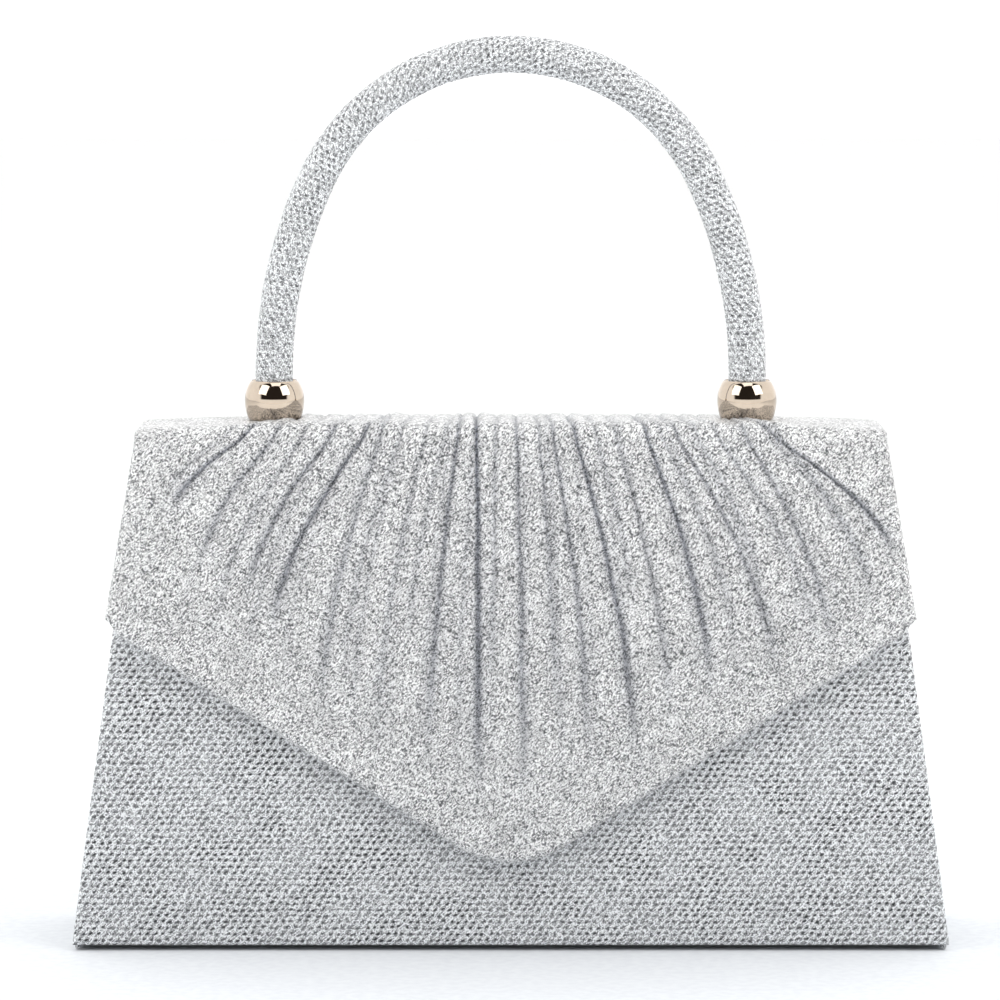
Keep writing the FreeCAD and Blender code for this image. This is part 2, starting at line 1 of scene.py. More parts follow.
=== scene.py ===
"""Looks of a silver evening bag: stiff trapezoid purse, pleated five-sided flap, arched handle.

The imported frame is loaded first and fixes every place. Lengths are in metres, and the named sizes
in millimetres are turned into metres by MM. Front is -Y, up is +Z.
"""

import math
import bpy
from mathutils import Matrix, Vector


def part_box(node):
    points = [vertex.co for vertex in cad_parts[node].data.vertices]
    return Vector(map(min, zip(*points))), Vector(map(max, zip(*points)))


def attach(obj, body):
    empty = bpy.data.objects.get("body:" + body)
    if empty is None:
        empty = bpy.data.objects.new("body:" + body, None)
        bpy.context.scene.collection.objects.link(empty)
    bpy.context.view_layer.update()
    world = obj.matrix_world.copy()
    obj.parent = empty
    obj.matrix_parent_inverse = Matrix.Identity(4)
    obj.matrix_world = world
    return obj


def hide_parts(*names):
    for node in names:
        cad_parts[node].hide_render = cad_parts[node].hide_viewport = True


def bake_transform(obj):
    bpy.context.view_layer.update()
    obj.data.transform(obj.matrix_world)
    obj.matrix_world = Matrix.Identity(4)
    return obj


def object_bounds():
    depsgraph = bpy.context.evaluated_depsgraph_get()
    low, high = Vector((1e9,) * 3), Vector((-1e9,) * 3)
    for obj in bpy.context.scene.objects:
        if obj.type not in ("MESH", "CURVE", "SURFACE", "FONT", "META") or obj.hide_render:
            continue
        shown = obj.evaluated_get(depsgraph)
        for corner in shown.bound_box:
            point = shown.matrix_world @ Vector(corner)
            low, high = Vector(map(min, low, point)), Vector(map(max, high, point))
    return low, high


bl_info = {
    "name": "Evening bag",
    "version": (1, 0, 0),
    "blender": (4, 5, 0),
    "location": "View3D > Sidebar > Evening bag",
    "description": "Builds the cloth, the metal and the studio of a pleated evening bag",
    "category": "Add Mesh",
}

import bmesh
import bpy
from bpy.props import FloatProperty, FloatVectorProperty, PointerProperty
from mathutils import Matrix, Vector, noise

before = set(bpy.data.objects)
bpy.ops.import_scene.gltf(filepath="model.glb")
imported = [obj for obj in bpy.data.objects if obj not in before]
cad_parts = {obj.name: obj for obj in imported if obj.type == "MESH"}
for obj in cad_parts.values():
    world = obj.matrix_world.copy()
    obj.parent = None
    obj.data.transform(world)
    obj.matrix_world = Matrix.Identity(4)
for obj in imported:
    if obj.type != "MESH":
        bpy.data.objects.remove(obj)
CAD_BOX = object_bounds()

MM = 0.001

# Faces of the frame that the cloth follows.
WALL_LOW, WALL_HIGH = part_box("front_cover")
STRIP_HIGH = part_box("top_cover")[1]
LINING_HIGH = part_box("front_lining")[1]
BASE_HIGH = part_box("base_cover")[1]
BASE_LINING_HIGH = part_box("base_lining")[1]
FERRULE_LOW, FERRULE_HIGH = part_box("ferrule_right")
HANDLE_LOW, HANDLE_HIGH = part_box("handle_cover")

BASE_HALF = WALL_HIGH.x
BASE_REACH = -WALL_LOW.y
WALL_HEIGHT = WALL_HIGH.z
MOUTH_HALF = STRIP_HIGH.x
MOUTH_REACH = STRIP_HIGH.y
STRIP_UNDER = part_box("top_lining")[0].z
STRIP_TOP = STRIP_HIGH.z
WALL_STACK = MOUTH_REACH + LINING_HIGH.y
LEAN = math.atan2(BASE_REACH - MOUTH_REACH, WALL_HEIGHT)
UP_WALL = Vector((0, math.sin(LEAN), math.cos(LEAN)))
OUT_OF_WALL = Vector((0, -math.cos(LEAN), math.sin(LEAN)))
WALL_FOOT = Vector((0, -BASE_REACH, 0))
UP_BACK_WALL = Vector((0, -math.sin(LEAN), math.cos(LEAN)))
INTO_BAG = Vector((0, -math.cos(LEAN), -math.sin(LEAN)))

# Mesh cells of plain cloth, of the wall with the snap's seat, and of lining.
CELL = 2.0 * MM
FINE_CELL = 1.1 * MM
LINING_CELL = 3.0 * MM
# Rows from a slab's rim to where it has its full thickness.
RIM_STEPS = 5
# Vertices closer than this are one.
WELD = 0.001 * MM


def linear(code):
    """sRGB hex code as the linear colour that a shader socket takes."""
    shares = [int(code[place:place + 2], 16) / 255 for place in (0, 2, 4)]
    return [s / 12.92 if s <= 0.04045 else ((s + 0.055) / 1.055) ** 2.4 for s in shares] + [1.0]


def smooth_step(low, high, value):
    """0 up to low, 1 from high, and an S-curve between them. Low may be the larger."""
    share = min(1.0, max(0.0, (value - low) / (high - low)))
    return share * share * (3 - 2 * share)


# ---------------------------------------------------------------- properties

def length(label, text, millimetres):
    """Length property with a default in millimetres."""
    return FloatProperty(name=label, description=text, default=millimetres * MM,
                         subtype="DISTANCE", unit="LENGTH", precision=5)


def tint(label, text, code):
    """Colour property with a default as an sRGB hex code."""
    return FloatVectorProperty(name=label, description=text, default=linear(code)[:3],
                               subtype="COLOR", size=3, min=0, max=1)


class ClothSizes(bpy.types.PropertyGroup):
    """Thicknesses and outlines of the cloth pieces."""
    wall_slab: length("Wall", "Wall with its board wrapped in cloth, thickness", 2.9)
    lift: length("Lift", "Gap between the walls and the floor; the base stands on it", 1.3)
    lining: length("Lining", "Thickness of the satin lining", 0.6)
    lining_inset: length("Lining inset", "Lining stops this far inside the wall's edge", 2.2)
    gusset: length("Gusset", "Thickness of the folding side cloth", 1.0)
    gusset_inset: length("Gusset inset", "Side cloth stands inside the wall's rim", 0.7)
    fold_low: length("Fold at the floor", "How far the side folds in at the floor", 1.0)
    fold_high: length("Fold at the mouth", "How far the side folds in at the mouth", 9.0)
    cover_slab: length("Flap", "Strip and flap with their board wrapped in cloth, thickness", 3.9)
    flap_face: length("Flap face", "Outside of the flap in front of the wall", 5.2)
    fold_radius: length("Fold radius", "Outside radius of the fold from strip to flap", 4.0)
    flap_top: length("Flap top", "Half the flap's width at its top edge", 93.8)
    flap_half: length("Flap corners", "Half the flap's width at its lower side corners", 101.2)
    corner_rise: length("Corner rise", "Lower side corners, up the slope", 81.4)
    tip_rise: length("Tip rise", "Where the two lower edges would meet, up the slope", 18.1)
    tip_radius: length("Tip radius", "Rounding of the flap's tip", 25)
    crown: length("Crown", "The strip's padding thins by this much at its two ends", 1.1)


class PleatSizes(bpy.types.PropertyGroup):
    """Shape of one pleat's crease and of the puffs between the creases."""
    depth: length("Depth", "Depth of the strongest crease", 0.9)
    ridge: length("Ridge", "Height of the fold beside the strongest crease", 0.85)
    width: length("Width", "Width of a crease at the top fold", 0.42)
    ridge_width: length("Ridge width", "From the crease to the top of the fold beside it", 1.4)
    puff: length("Puff", "Height of the soft waves between the creases", 0.38)


class HandleSizes(bpy.types.PropertyGroup):
    """Line of the handle, its cloth and its ferrules."""
    width: length("Width", "Handle with its cloth, diameter", 9.5)
    crown_radius: length("Crown radius", "Centre-line radius of the crown", 53.6)
    shoulder: length("Shoulder", "Height where the legs become upright", 143)
    lattice_relief: length("Net relief", "Depth of the net's holes", 0.16)
    ferrule_waist: length("Waist", "Ferrule at its middle, diameter", 15)
    ferrule_rim: length("Rim", "Ferrule at its upper rim, diameter", 11.8)
    ferrule_foot: length("Foot", "Ferrule at its foot, diameter", 13)
    ferrule_cup: length("Cup", "Cup in the ferrule, diameter", 10.9)
    cup_depth: length("Cup depth", "Depth of that cup", 6)


class NetSizes(bpy.types.PropertyGroup):
    """Real sizes of the glitter net's pattern."""
    pitch: length("Pitch", "Spacing of the holes along a row", 2.0)
    row: length("Row", "Spacing of the rows of holes", 1.53)
    fleck: length("Fleck", "Size of a glitter fleck on the net", 0.29)
    grain: length("Grain", "Size of a glitter grain on the gathered cloth", 0.36)
    thread: length("Thread", "Half the width of a slanted lurex thread", 0.14)
    thread_angle: FloatProperty(name="Thread angle", description="Slant of the lurex threads",
                                default=math.radians(38), subtype="ANGLE", unit="ROTATION")


class BagColours(bpy.types.PropertyGroup):
    """Colours of the bag's materials."""
    glitter_dark: tint("Glitter dark", "Ground between the glitter flecks", "424447")
    hole: tint("Hole", "Backing seen through a hole of the net", "2c2d2f")
    glitter_light: tint("Glitter light", "Brightest grains of the gathered cloth", "ffffff")
    lurex: tint("Lurex", "Threads and flecks of the net, a little cooler", "fbfdff")
    # Painted shade: the gathered cloth's colour is multiplied by this at the bottom of a crease.
    crease: tint("Crease", "Tint of the cloth at the bottom of a crease", "7a808f")
    satin: tint("Satin", "Lining", "b4b7bd")
    nickel: tint("Nickel", "Ferrules, snap and rings", "c0b2a2")
    zinc: tint("Zinc", "Screws and washers", "b9bcc0")
    steel: tint("Steel", "Tube inside the handle", "8f9296")
    thread: tint("Thread", "Stitching of the pocket", "d5d7db")
    fibreboard: tint("Fibreboard", "Stiffening boards", "b7ab94")
    ferrite: tint("Ferrite", "Magnet of the snap", "3a3a3d")
    # Painted shade: the floor near the bag is painted this grey; further away it is white.
    ground: tint("Ground", "Studio floor near the bag", "e6e9ec")
    ground_dark: tint("Darker ground", "Darker fibres of that floor", "dfe2e6")
    room: tint("Room", "Dark room in front of the bag", "2a2522")


class StudioSizes(bpy.types.PropertyGroup):
    """Camera and lights."""
    distance: length("Camera distance", "From the aim to the camera", 1200)
    elevation: FloatProperty(name="Camera elevation", description="Camera above the horizon",
                             default=math.radians(6), subtype="ANGLE", unit="ROTATION")
    lens: FloatProperty(name="Lens", description="Focal length in millimetres", default=170.8,
                        subtype="DISTANCE_CAMERA", unit="CAMERA")
    softbox: length("Softbox", "Side of each softbox", 720)
    softbox_distance: length("Softbox distance", "From the bag to each softbox", 1300)
    softbox_power: FloatProperty(name="Softbox power", description="Power of each softbox",
                                 default=6.3, subtype="POWER", unit="POWER")
    dome: FloatProperty(name="Dome", description="Brightness of the white surroundings",
                        default=1.50, min=0)


GROUPS = {"cloth": ClothSizes, "pleat": PleatSizes, "handle": HandleSizes, "net": NetSizes,
          "colours": BagColours, "studio": StudioSizes}


class BagSettings(bpy.types.PropertyGroup):
    """All settings of the bag."""
    cloth: PointerProperty(type=ClothSizes, name="Cloth", description="Cloth sizes")
    pleat: PointerProperty(type=PleatSizes, name="Pleats", description="Pleat sizes")
    handle: PointerProperty(type=HandleSizes, name="Handle", description="Handle sizes")
    net: PointerProperty(type=NetSizes, name="Net", description="Net pattern sizes")
    colours: PointerProperty(type=BagColours, name="Colours", description="Colours")
    studio: PointerProperty(type=StudioSizes, name="Studio", description="Camera and lights")


# ---------------------------------------------------------------- materials

def add(tree, kind, links=None, **settings):
    """Add a node. links maps an input to a value or to another node's output."""
    node = tree.nodes.new(kind)
    for key, value in settings.items():
        setattr(node, key, value)
    for key, value in (links or {}).items():
        if isinstance(value, bpy.types.NodeSocket):
            tree.links.new(value, node.inputs[key])
        else:
            node.inputs[key].default_value = value
    return node


def new_material(name, **sockets):
    """Material, its tree and its Principled shader, whose constant sockets are set."""
    material = bpy.data.materials.new(name)
    material.use_nodes = True
    tree = material.node_tree
    shader = tree.nodes["Principled BSDF"]
    for key, value in sockets.items():
        shader.inputs[key.replace("_", " ").title()].default_value = value
    return material, tree, shader


def dress(tree, shader, colour, height=None, strength=0.0, depth=0.0, invert=False):
    """Link a colour, and a relief so many millimetres deep, to the shader."""
    tree.links.new(colour, shader.inputs["Base Color"])
    if height is not None:
        bump = add(tree, "ShaderNodeBump", {"Height": height, "Strength": strength,
                                            "Distance": depth * MM}, invert=invert)
        tree.links.new(bump.outputs[0], shader.inputs["Normal"])


def mix(tree, factor, first, second, blend="MIX"):
    """Mix two colours by a factor and return the colour."""
    node = add(tree, "ShaderNodeMix", {"Factor": factor, 6: first, 7: second},
               data_type="RGBA", blend_type=blend)
    return node.outputs[2]


def remap(tree, value, low, high, start=0.0, end=1.0):
    """Turn a range of a value into another range and return it."""
    return add(tree, "ShaderNodeMapRange", {"Value": value, 1: low, 2: high, 3: start, 4: end},
               interpolation_type="SMOOTHSTEP").outputs[0]


def clouds(tree, source, scale, detail, low=0.3, high=0.7, start=0.0, end=1.0):
    """Soft noise whose middle range is turned into another range."""
    cloud = add(tree, "ShaderNodeTexNoise", {"Vector": source, "Scale": scale, "Detail": detail})
    return remap(tree, cloud.outputs["Fac"], low, high, start, end)


def opaque(colour, share=1.0):
    """Colour as a socket takes it, its brightness multiplied by a share."""
    return [*(share * part for part in colour[:3]), 1]


def cloth_millimetres(tree):
    """The piece's own flat cloth coordinates, in millimetres."""
    flat = add(tree, "ShaderNodeUVMap", uv_map="cloth")
    return add(tree, "ShaderNodeVectorMath", {0: flat.outputs[0], "Scale": 1 / MM},
               operation="SCALE").outputs[0]


def combine_dots(tree, source, first, second, offset=(0, 0)):
    """Two dot products of a vector as a new flat vector."""
    across = add(tree, "ShaderNodeVectorMath", {0: source, 1: first}, operation="DOT_PRODUCT")
    along = add(tree, "ShaderNodeVectorMath", {0: source, 1: second}, operation="DOT_PRODUCT")
    pair = add(tree, "ShaderNodeCombineXYZ", {0: across.outputs["Value"], 1: along.outputs["Value"]})
    return add(tree, "ShaderNodeVectorMath", {0: pair.outputs[0], 1: (*offset, 0)},
               operation="ADD").outputs[0]


def flecks(tree, source, size, stops):
    """Random brightness of each fleck of a given size in millimetres, through a ramp of stops: partly
    the fleck's own tone, partly painted glint.
    """
    cells = add(tree, "ShaderNodeTexVoronoi", {"Vector": source, "Scale": 1 / size,
                                               "Randomness": 1.0}, voronoi_dimensions="2D")
    ramp = add(tree, "ShaderNodeValToRGB", {0: cells.outputs["Color"]})
    elements = ramp.color_ramp.elements
    while len(elements) < len(stops):
        elements.new(0.5)
    for element, (place, grey) in zip(elements, stops):
        element.position = place
        element.color = (grey, grey, grey, 1)
    return ramp.outputs[0], cells.outputs["Distance"]


def glitter_net(settings, name, threads, opening):
    """Lurex net knitted over padded backing: open holes in staggered rows, slanted bright threads.

    The holes read as dark points, the threads and the loose glitter as white sparks, whose random
    brightness is partly painted glint. threads and opening say how much of each shows, from 0 to 1.
    """
    net, colours = settings.net, settings.colours
    pitch, row, width = net.pitch / MM, net.row / MM, net.thread / MM
    material, tree, shader = new_material(name, metallic=0.15, roughness=0.45)
    flat = cloth_millimetres(tree)
    wander = add(tree, "ShaderNodeTexNoise", {"Vector": flat, "Scale": 0.25, "Detail": 1.0})
    pulled = add(tree, "ShaderNodeVectorMath", {0: wander.outputs["Color"], 1: (0.9, 0.9, 0),
                                                2: flat}, operation="MULTIPLY_ADD").outputs[0]
    # Skewed axes turn the staggered rows into a square lattice with a hole at each whole number.
    skew, rise = (1 / pitch, -0.5 / row, 0), (0, 1 / row, 0)
    lattice = combine_dots(tree, pulled, skew, rise)
    between = combine_dots(tree, pulled, skew, rise, (0.5, 0.5))
    holes = add(tree, "ShaderNodeTexVoronoi", {"Vector": lattice, "Scale": 1.0,
                                               "Randomness": 0.32}, voronoi_dimensions="2D")
    hole = remap(tree, holes.outputs["Distance"], 0.29, 0.16)
    cells = add(tree, "ShaderNodeTexVoronoi", {"Vector": between, "Scale": 1.0,
                                               "Randomness": 0.22}, voronoi_dimensions="2D")
    local = add(tree, "ShaderNodeVectorMath", {0: between, 1: cells.outputs["Position"]},
                operation="SUBTRACT").outputs[0]
    # The same skew back to millimetres, turned so that X runs along the thread.
    c, s = math.cos(net.thread_angle), math.sin(net.thread_angle)
    along = (pitch * c, pitch / 2 * c + row * s, 0)
    across = (-pitch * s, -pitch / 2 * s + row * c, 0)
    slant = combine_dots(tree, local, along, across)
    split = add(tree, "ShaderNodeSeparateXYZ", {0: slant})
    reach = add(tree, "ShaderNodeMath", {0: split.outputs[0]}, operation="ABSOLUTE")
    side = add(tree, "ShaderNodeMath", {0: split.outputs[1]}, operation="ABSOLUTE")
    slim = remap(tree, side.outputs[0], width, 0.35 * width)
    short = remap(tree, reach.outputs[0], 1.05, 0.75)
    thread = add(tree, "ShaderNodeMath", {0: slim, 1: short}, operation="MULTIPLY").outputs[0]
    # Each fleck gets a random brightness from dark to white: its own lighter tone, and partly painted
    # glint.
    sparks, edge = flecks(tree, flat, net.fleck / MM,
                          [(0.0, 0.0), (0.30, 0.19), (0.59, 0.52), (0.74, 1.0)])
    # Bands where the net is pulled tighter show less of the dark ground.
    hole_depth = clouds(tree, flat, 0.07, 2.0, 0.35, 0.65, 0.5 * opening, opening)
    hole_shade = add(tree, "ShaderNodeMath", {0: hole, 1: hole_depth},
                     operation="MULTIPLY").outputs[0]
    thread_shade = add(tree, "ShaderNodeMath", {0: thread, 1: threads},
                       operation="MULTIPLY").outputs[0]
    # Bright loops of the net run round each hole.
    loops = add(tree, "ShaderNodeTexVoronoi", {"Vector": lattice, "Scale": 1.0,
                                               "Randomness": 0.45}, voronoi_dimensions="2D",
                feature="DISTANCE_TO_EDGE")
    loop = remap(tree, loops.outputs["Distance"], 0.08, 0.02, 0.0, 0.5)
    value = mix(tree, loop, sparks, (0.9, 0.9, 0.9, 1))
    colour = mix(tree, value, opaque(colours.glitter_dark), opaque(colours.lurex))
    colour = mix(tree, hole_shade, colour, opaque(colours.hole))
    colour = mix(tree, thread_shade, colour, opaque(colours.lurex))
    relief = add(tree, "ShaderNodeMath", {0: thread, 1: hole}, operation="SUBTRACT").outputs[0]
    relief = add(tree, "ShaderNodeMath", {0: edge, 1: -0.5, 2: relief}, operation="MULTIPLY_ADD")
    dress(tree, shader, colour, relief.outputs[0], 0.6, 0.14)
    return material


def slanted_flecks(tree, flat, size, degrees, stops):
    """Flecks drawn out along one slant, as short ends of thread are."""
    turned = add(tree, "ShaderNodeMapping", {"Vector": flat, "Scale": (0.55, 1.25, 1.0),
                                             "Rotation": (0, 0, math.radians(-degrees))},
                 vector_type="TEXTURE")
    return flecks(tree, turned.outputs[0], size, stops)


def glitter_gathered(settings):
    """Fine glitter cloth, gathered: a dense irregular grain of short bright ends, no open holes.

    Its creases are painted a darker blue-grey, as painted shade where the cloth turns in on itself.
    """
    grain, colours = settings.net.grain / MM, settings.colours
    material, tree, shader = new_material("glitter_cloth_gathered", metallic=0.15, roughness=0.45)
    flat = cloth_millimetres(tree)
    # Each short end gets a random brightness from dark to white: its own tone, and partly painted
    # glint.
    stops = [(0.0, 0.0), (0.40, 0.05), (0.58, 0.48), (0.70, 1.0)]
    rising, edge = slanted_flecks(tree, flat, grain, 40, stops)
    falling = slanted_flecks(tree, flat, 1.15 * grain, -50, stops)[0]
    value = mix(tree, 0.35, mix(tree, 1.0, rising, falling, "LIGHTEN"), rising)
    # Broad patches where the grain lies a little flatter.
    lift = clouds(tree, flat, 0.11, 3.0, 0.3, 0.7, 0.86, 1.0)
    lifted = add(tree, "ShaderNodeCombineXYZ", {0: lift, 1: lift, 2: lift})
    value = mix(tree, 1.0, value, lifted.outputs[0], "MULTIPLY")
    colour = mix(tree, value, opaque(colours.glitter_dark), opaque(colours.glitter_light))
    # Painted shade: the crease attribute mixes the colour towards its product with the crease colour.
    crease = add(tree, "ShaderNodeAttribute", attribute_name="crease")
    crease_shaded = mix(tree, 1.0, colour, opaque(colours.crease), "MULTIPLY")
    dress(tree, shader, mix(tree, crease.outputs["Fac"], colour, crease_shaded), edge, 0.5, 0.12, True)
    return material


def satin(settings):
    """Polyester satin: long floats along one way give a soft streaked sheen."""
    material, tree, shader = new_material("polyester_satin", roughness=0.36, sheen_weight=0.35,
                                          sheen_roughness=0.4, anisotropic=0.4)
    floats = add(tree, "ShaderNodeMapping", {"Vector": cloth_millimetres(tree),
                                             "Scale": (0.35, 4.0, 1.0)})
    streaks = clouds(tree, floats.outputs[0], 1.0, 3.0)
    base = settings.colours.satin
    dress(tree, shader, mix(tree, streaks, opaque(base, 0.82), opaque(base)), streaks, 0.15, 0.05)
    return material


def twisted_thread(settings):
    """Twisted polyester sewing thread: fine slanted plies, a little lighter than the lining."""
    material, tree, shader = new_material("polyester_thread", roughness=0.5)
    place = add(tree, "ShaderNodeTexCoord").outputs["Object"]
    plies = add(tree, "ShaderNodeTexWave", {"Vector": place, "Scale": 900.0,
                                            "Distortion": 0.5}, bands_direction="DIAGONAL")
    light = settings.colours.thread
    dress(tree, shader, mix(tree, plies.outputs["Fac"], opaque(light, 0.7), opaque(light)))
    return material


def polished_metal(name, colour, roughness, grain):
    """Plated metal that was polished: sharp reflections with the faintest haze of fine scratches."""
    material, tree, shader = new_material(name, metallic=1.0)
    place, scale = add(tree, "ShaderNodeTexCoord").outputs["Object"], 1 / (grain * MM)
    rough = clouds(tree, place, scale, 4.0, 0.35, 0.75, roughness, roughness * 2.2)
    tree.links.new(rough, shader.inputs["Roughness"])
    tone = clouds(tree, place, scale, 4.0)
    dress(tree, shader, mix(tree, tone, opaque(colour, 0.93), opaque(colour)))
    return material


def mottled(name, colour, roughness, grain, contrast):
    """Plain pressed or sintered stuff: matt, with grains of slightly different tone."""
    material, tree, shader = new_material(name, roughness=roughness)
    place = add(tree, "ShaderNodeTexCoord").outputs["Object"]
    grains = clouds(tree, place, 1 / (grain * MM), 5.0)
    dress(tree, shader, mix(tree, grains, opaque(colour, contrast), opaque(colour)),
          grains, 0.3, 0.1)
    return material


# How each finish is made. Behind polished metal and mottled stuff stand the roughness and the grain
# in millimetres, and for the latter how dark the darkest grains are.
MAKERS = {
    "net": lambda bag: glitter_net(bag, "lurex_net_on_padding", 0.9, 1.0),
    # Pulled round the handle, the net's slanted threads sink between its holes.
    "handle net": lambda bag: glitter_net(bag, "lurex_net_stretched_round_tube", 0.3, 0.75),
    "gathered": glitter_gathered,
    "satin": satin,
    "thread": twisted_thread,
    # Warm bright nickel over a turned bead: mirror-like, champagne tinted.
    "nickel": lambda bag: polished_metal("polished_nickel_plate", bag.colours.nickel, 0.035, 2.0),
    # Zinc plate on pressed steel: bright but cloudy.
    "zinc": lambda bag: polished_metal("zinc_plated_steel", bag.colours.zinc, 0.22, 0.6),
    # Drawn steel tube, unplated and oiled: grey with a dull shine.
    "steel": lambda bag: polished_metal("drawn_steel", bag.colours.steel, 0.32, 0.8),
    # Pressed paper fibre: matt buff with darker fibres.
    "fibreboard": lambda bag: mottled("pressed_fibreboard", bag.colours.fibreboard, 0.9, 1.2, 0.8),
    # Sintered ferrite: dark, matt and fine grained.
    "ferrite": lambda bag: mottled("sintered_ferrite", bag.colours.ferrite, 0.7, 0.4, 0.7),
}
finishes = {}


def finish(name):
    """One of the bag's materials, made the first time that a piece asks for it."""
    if name not in finishes:
        finishes[name] = MAKERS[name](bpy.context.scene.evening_bag)
    return finishes[name]


# ---------------------------------------------------------------- mesh helpers

def new_object(name, bm, material):
    """Turn a bmesh into a smooth-shaded object at the origin."""
    bmesh.ops.recalc_face_normals(bm, faces=bm.faces[:])
    for face in bm.faces:
        face.smooth = True
    mesh = bpy.data.meshes.new(name)
    bm.to_mesh(mesh)
    bm.free()
    mesh.materials.append(finish(material))
    piece = bpy.data.objects.new(name, mesh)
    bpy.context.scene.collection.objects.link(piece)
    return piece


def weld(bm):
    """Join the vertices that lie on one spot, and drop what has no extent."""
    bmesh.ops.remove_doubles(bm, verts=bm.verts[:], dist=WELD)
    bmesh.ops.dissolve_degenerate(bm, edges=bm.edges[:], dist=WELD / 2)


def number_grid(bm, columns, rows, layer):
    """Fill a bmesh with a grid whose vertices lie at their own column and row numbers."""
    bmesh.ops.create_grid(bm, x_segments=columns, y_segments=rows, size=0.5)
    for vert in bm.verts:
        vert.co = (round((vert.co.x + 0.5) * columns), round((vert.co.y + 0.5) * rows), layer)


def spread(total, cell, rim, steps=RIM_STEPS):
    """Places from 0 to total: round rims and even cells between.

    Each is (place, fullness of the slab there, place measured along the cloth round the rim).
    """
    start = []
    for step in range(steps):
        angle = step * math.pi / 2 / steps
        laid = rim * (1 + angle - math.pi / 2)
        start.append((rim * (1 - math.cos(angle)), math.sin(angle), laid))
    count = max(1, round((total - 2 * rim) / cell))
    flat = [rim + (total - 2 * rim) * step / count for step in range(count + 1)]
    end = [(total - place, full, total - laid) for place, full, laid in reversed(start)]
    return start + [(place, 1.0, place) for place in flat] + end


def slab(name, across, along, put, material, chart=None, shade=None):
    """Closed slab of cloth made of two grids that meet at a rounded rim.

    across and along list its columns and rows as spread does.
    put(u, v, swell) gives a point: swell is 1 on the outside, -1 on the inside, 0 on the rim.
    chart(u, v) gives the cloth's flat coordinates, and shade(u, v) the painted shade of a crease
    there.
    """
    bm = bmesh.new()
    number_grid(bm, len(across) - 1, len(along) - 1, 1)
    inside = bmesh.ops.duplicate(bm, geom=bm.verts[:] + bm.edges[:] + bm.faces[:])["geom"]
    for part in inside:
        if isinstance(part, bmesh.types.BMVert):
            part.co.z = -1
    bmesh.ops.reverse_faces(bm, faces=[p for p in inside if isinstance(p, bmesh.types.BMFace)])
    flat = bm.loops.layers.uv.new("cloth")
    for face in bm.faces:
        for loop in face.loops:
            u, v = across[round(loop.vert.co.x)][2], along[round(loop.vert.co.y)][2]
            loop[flat].uv = chart(u, v) if chart else (u, v)
    # Painted shade of the creases, on the outside only, for the material to darken the colour by.
    crease = bm.verts.layers.float.new("crease") if shade else None
    for vert in bm.verts:
        u, full_u, _ = across[round(vert.co.x)]
        v, full_v, _ = along[round(vert.co.y)]
        swell = vert.co.z * min(full_u, full_v)
        if shade and vert.co.z > 0:
            vert[crease] = shade(u, v)
        vert.co = put(u, v, swell)
    weld(bm)
    return new_object(name, bm, material)


def closed_wire(name, path, radius, material, sides=14):
    """Round wire whose ends meet. path lists (point, direction across, other direction across)."""
    bm = bmesh.new()
    number_grid(bm, sides, len(path) - 1, 0)
    for vert in bm.verts:
        point, outwards, sideways = path[round(vert.co.y)]
        angle = 2 * math.pi * round(vert.co.x) / sides
        vert.co = point + radius * (math.cos(angle) * outwards + math.sin(angle) * sideways)
    weld(bm)
    return new_object(name, bm, material)


def turned(name, profile, to_place, material, bevel=None, steps=72):
    """Closed turned piece. profile lists (radius, height) round its half section."""
    bm = bmesh.new()
    verts = [bm.verts.new((radius, 0, height)) for radius, height in profile]
    edges = [bm.edges.new((verts[i], verts[(i + 1) % len(verts)])) for i in range(len(verts))]
    on_axis = [e for e in edges if all(v.co.x < 1e-9 for v in e.verts)]
    bmesh.ops.delete(bm, geom=on_axis, context="EDGES_FACES")
    bmesh.ops.spin(bm, geom=bm.verts[:] + bm.edges[:], cent=(0, 0, 0), axis=(0, 0, 1),
                   angle=2 * math.pi, steps=steps, use_merge=True, dvec=(0, 0, 0))
    weld(bm)
    bmesh.ops.transform(bm, matrix=to_place, verts=bm.verts[:])
    piece = new_object(name, bm, material)
    if bevel:
        edge = piece.modifiers.new("edge", "BEVEL")
        edge.width = bevel
        edge.segments = 3
        edge.limit_method = "ANGLE"
        edge.angle_limit = math.radians(35)
    return piece


def stitches(name, rows, outwards, body, pitch=3.0 * MM):
    """Rows of stitches as one piece: each is a small pillow sunk at both ends. rows lists lines."""
    bm = bmesh.new()
    for start, end in rows:
        run = end - start
        count = max(1, int(run.length / pitch))
        frame_of = Matrix((run.normalized(), run.normalized().cross(outwards), outwards))
        for step in range(count):
            middle = start + run * ((step + 0.5) / count)
            ball = bmesh.ops.create_uvsphere(bm, u_segments=8, v_segments=5, radius=1.0)["verts"]
            size = Matrix.Diagonal((0.36 * pitch, 0.09 * pitch, 0.09 * pitch, 1))
            place = Matrix.Translation(middle) @ frame_of.transposed().to_4x4() @ size
            bmesh.ops.transform(bm, matrix=place, verts=ball)
    piece = new_object(name, bm, "thread")
    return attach(piece, body)


# ---------------------------------------------------------------- walls

def wall_half(height):
    """Half the wall's width at a height."""
    return BASE_HALF + (MOUTH_HALF - BASE_HALF) * height / WALL_HEIGHT


def wall_reach(height):
    """Distance of the wall's outside from the middle at a height."""
    return BASE_REACH + (MOUTH_REACH - BASE_REACH) * height / WALL_HEIGHT


def wave(u, v, swell, seed):
    """Soft unevenness of hand-wrapped cloth on its outside."""
    size, depth = 26 * MM, 0.12 * MM
    return depth * noise.noise(Vector((u / size, v / size, seed))) * max(0.0, swell)


